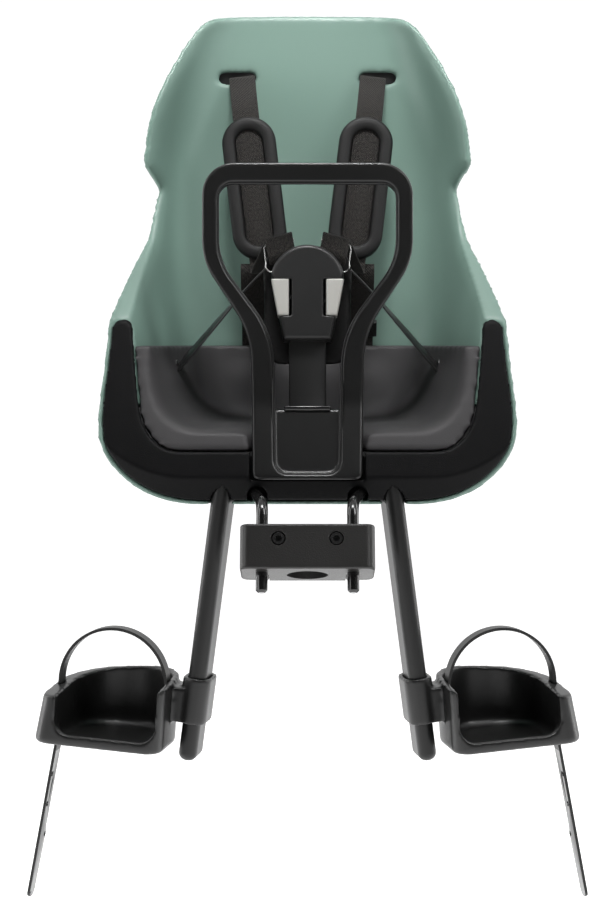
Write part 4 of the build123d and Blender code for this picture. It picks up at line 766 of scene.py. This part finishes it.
def ribbon(name, stations, width, thick, steps=8, mirrored=False):
    """A webbing strap through stations of (point in mm, direction across)."""
    flip = Vector((-1, 1, 1)) if mirrored else Vector((1, 1, 1))
    points = curve_through([Vector(p) * flip * MM for p, _ in stations], steps)
    across = curve_through([(Vector(a) * flip).normalized() for _, a in stations], steps)
    half, edge = width / 2 * MM, thick / 2 * MM
    soft = edge * 0.9
    profile = [
        (-half, -edge * 0.4),
        (-half + soft, -edge),
        (half - soft, -edge),
        (half, -edge * 0.4),
        (half, edge * 0.4),
        (half - soft, edge),
        (-half + soft, edge),
        (-half, edge * 0.4),
    ]
    build = bmesh.new()
    uv = build.loops.layers.uv.new("strap_uv")
    rings = []
    travel = 0.0
    marks = []
    for i, point in enumerate(points):
        along = points[min(i + 1, len(points) - 1)] - points[max(i - 1, 0)]
        side = (across[i] - along.normalized() * across[i].dot(along.normalized())).normalized()
        up = along.normalized().cross(side)
        rings.append([build.verts.new(point + side * x + up * z) for x, z in profile])
        travel += (point - points[i - 1]).length if i else 0
        marks.append(travel)
    count = len(profile)
    for i in range(len(rings) - 1):
        for k in range(count):
            m = (k + 1) % count
            face = build.faces.new((rings[i][k], rings[i][m], rings[i + 1][m], rings[i + 1][k]))
            for loop, (u, v) in zip(
                face.loops, ((k, i), (m, i), (m, i + 1), (k, i + 1))
            ):
                loop[uv].uv = (profile[u][0], marks[v])
    for ring in (rings[0], rings[-1]):
        cap = build.faces.new(ring)
        for loop in cap.loops:
            loop[uv].uv = (0, 0)
    bmesh.ops.recalc_face_normals(build, faces=build.faces)
    return built(build, name)


# %% Painted slot shade
SLOT_SHADE_MIDDLE = (122.0, 138.0, 149.0)
SLOT_SHADE_HALF = (3.5, 7, 13)
SLOT_SHADE_SLANT = 2.0


def lap_slot_shade(name, mirrored):
    """A black oval, painted shade in the slot where a lap strap goes into the foam."""
    flip = Vector((-1, 1, 1)) if mirrored else Vector((1, 1, 1))
    build = bmesh.new()
    bmesh.ops.create_uvsphere(build, u_segments=24, v_segments=16, radius=1)
    for vertex in build.verts:
        slant = Vector((-SLOT_SHADE_SLANT * vertex.co.z, 0, 0))
        place = Vector(SLOT_SHADE_MIDDLE) + vertex.co * Vector(SLOT_SHADE_HALF) + slant
        vertex.co = place * flip * MM
    bmesh.ops.recalc_face_normals(build, faces=build.faces)
    return built(build, name)


# %% Harness straps
HARNESS_WIDTH = 25
LAP_WIDTH = 18
WEBBING = 1.8
pad_across = (0.993, 0, -0.119)
bar_across = (0.956, -0.051, -0.288)
shoulder_stations = [
    ((63.3, 249, 432.6), pad_across),
    ((63.3, 240, 432.4), pad_across),
    ((62.6, 231, 427), pad_across),
    ((58.2, 203.0, 389), pad_across),
    ((50, 187, 321.5), pad_across),
    ((41.8, 171.7, 253.7), pad_across),
    ((40.4, 165, 243), pad_across),
    ((37.5, 152, 247), pad_across),
    ((27.5, 118, 267), bar_across),
    ((26.0, 109.5, 271.5), bar_across),
    ((25.4, 104.5, 268), bar_across),
    ((23.0, 102.0, 256), bar_across),
    ((21.5, 104.5, 249), bar_across),
]
lower_stations = [
    ((50, 174.5, 250), (1, 0, 0)),
    ((50, 175.5, 236), (1, 0, 0)),
    ((50, 205.0, 187), (1, 0, 0)),
    ((50, 210, 159), (1, 0, 0)),
]
lap_stations = [
    ((38.0, 101.5, 242), (0.02, 1, 0.05)),
    ((55, 107.8, 224.6), (0.03, 1, 0.08)),
    ((95, 126.2, 180), (0.1, 0.95, 0.3)),
    ((136, 145.2, 134), (0.1, 0.95, 0.3)),
]
for side, mirrored in (("left", False), ("right", True)):
    strap = ribbon(f"shoulder_webbing_{side}", shoulder_stations, HARNESS_WIDTH, WEBBING, mirrored=mirrored)
    settle(strap, "seat", "webbing", webbing_melange, f"shoulder_strap_{side}")
    strap = ribbon(f"lower_webbing_{side}", lower_stations, HARNESS_WIDTH, WEBBING, mirrored=mirrored)
    settle(strap, "seat", "webbing", webbing_melange, f"lower_strap_{side}")
    strap = ribbon(f"lap_webbing_{side}", lap_stations, LAP_WIDTH, WEBBING, mirrored=mirrored)
    settle(strap, "seat", "webbing", buckle_black, f"lap_strap_{side}")
    # A black oval on the foam is painted shade for each lap strap's slot.
    slot_shade = lap_slot_shade(f"lap_slot_shade_{side}", mirrored)
    settle(slot_shade, "seat", "trim", chassis_black)
print("straps: 6, slot_shades: 2")

# %% Crotch strap
CROTCH_WIDTH = 33
CROTCH_THICKNESS = 3
crotch_stations = [
    ((0, 66.2, 72), (1, 0, 0)),
    ((0, 75.6, 98), (1, 0, 0)),
    ((0, 85.0, 125), (1, 0, 0)),
    ((0, 91.4, 158), (1, 0, 0)),
    ((0, 94.4, 176), (1, 0, 0)),
    ((0, 96.6, 189), (1, 0, 0)),
]
crotch = ribbon("crotch_band", crotch_stations, CROTCH_WIDTH, CROTCH_THICKNESS)
settle(crotch, "seat", "webbing", buckle_black, "crotch_strap")
print("crotch strap faces:", len(crotch.data.polygons))


# %% [markdown]
# ## Wire tongues
# Each tongue is one bent wire. Its bar passes through the fold of the shoulder strap, and its two
# legs run down into the buckle. The outer leg also carries the end of the lap strap.


# %% Wire builder
def wire(name, stations, radius, mirrored=False, sides=10, steps=6):
    """A closed loop of round wire through points in mm."""
    flip = Vector((-1, 1, 1)) if mirrored else Vector((1, 1, 1))
    corners = [Vector(p) * flip * MM for p in stations]
    loop = curve_through(corners[-2:] + corners + corners[:3], steps)
    points = loop[2 * steps : 2 * steps + len(corners) * steps]
    build = bmesh.new()
    rings = []
    normal = Vector((0, 1, 0))
    for i, point in enumerate(points):
        along = (points[(i + 1) % len(points)] - points[i - 1]).normalized()
        normal = (normal - along * normal.dot(along)).normalized()
        other = along.cross(normal)
        ring = []
        for k in range(sides):
            angle = 2 * pi * k / sides
            offset = (normal * cos(angle) + other * sin(angle)) * radius * MM
            ring.append(build.verts.new(point + offset))
        rings.append(ring)
    for i in range(len(rings)):
        after = rings[(i + 1) % len(rings)]
        for k in range(sides):
            m = (k + 1) % sides
            build.faces.new((rings[i][k], rings[i][m], after[m], after[k]))
    bmesh.ops.recalc_face_normals(build, faces=build.faces)
    return built(build, name)


WIRE_RADIUS = 0.55
tongue_loop = [
    (14.5, 110.5, 271.2),
    (26, 109.0, 268.0),
    (36.0, 107.6, 264.6),
    (38.6, 106.0, 259.5),
    (37.2, 103.5, 249),
    (37.0, 101.8, 243),
    (32.5, 101.4, 239.5),
    (24, 103, 243),
    (16, 107, 252),
    (13, 110.5, 264),
]
for side, mirrored in (("left", False), ("right", True)):
    tongue = wire(f"tongue_wire_{side}", tongue_loop, WIRE_RADIUS, mirrored)
    settle(tongue, "seat", "tongue", bare_steel, f"buckle_tongue_{side}")
print("wire tongues: 2")

# %% [markdown]
# ## Handle details
# A bead runs round the inside of the handle just behind its front edge, and a glossy bar lies on
# the pocket's web. Both are in millimetres until they are built.


# %% Bead of the handle
HANDLE_FRONT = 21  # the handle's front plane at height 0, before its lean
HANDLE_KNEE = 128
KNEE_DEPTH = 68.9
UPPER_LEAN = radians(3)
BEAD_SETBACK = 4.5
BEAD_RADIUS = 1.5


def eased_path(corners, steps=8):
    """A path in a plane through corners of (x, z, radius), with each corner rounded."""
    path = []
    for i, (x, z, radius) in enumerate(corners):
        here = Vector((x, z))
        if radius == 0:
            path.append(here)
            continue
        back = (Vector(corners[i - 1][:2]) - here).normalized()
        ahead = (Vector(corners[i + 1][:2]) - here).normalized()
        reach = radius / tan(back.angle(ahead) / 2)
        for k in range(steps + 1):
            t = k / steps
            path.append(here + back * reach * (1 - t) ** 2 + ahead * reach * t**2)
    return path


half_path = eased_path(
    [(0, 63, 0), (28.5, 63, 12), (31, 184, 85), (79, 248, 60), (79, 316.5, 14), (0, 316.5, 0)]
)
bead_path = []
for place in half_path + [Vector((-p.x, p.y)) for p in half_path[-2:0:-1]]:
    if place.y < HANDLE_KNEE:
        depth = (HANDLE_FRONT + place.y * sin(STEM_LEAN)) / cos(STEM_LEAN)
    else:
        depth = KNEE_DEPTH + (place.y - HANDLE_KNEE) * tan(UPPER_LEAN)
    bead_path.append((place.x, depth + BEAD_SETBACK, place.y))
bead = wire("handle_bead", bead_path, BEAD_RADIUS, steps=1)
settle(bead, "seat", "handle", handle_black)
print("bead faces:", len(bead.data.polygons))

# %% Slot bar
# A glossy bar lies on the pocket's web, where the crotch strap comes out.
BAR_MIDDLE = Vector((0, 72.5, 119)) * MM
BAR_SIZE = Vector((41, 6, 4.5)) * MM
BAR_ROUNDING = 0.0014
slot_bar = bevelled_box("slot_bar", BAR_MIDDLE, BAR_SIZE, BAR_ROUNDING, 3)
settle(slot_bar, "seat", "handle", rod_gloss)
print("slot bar faces:", len(slot_bar.data.polygons))
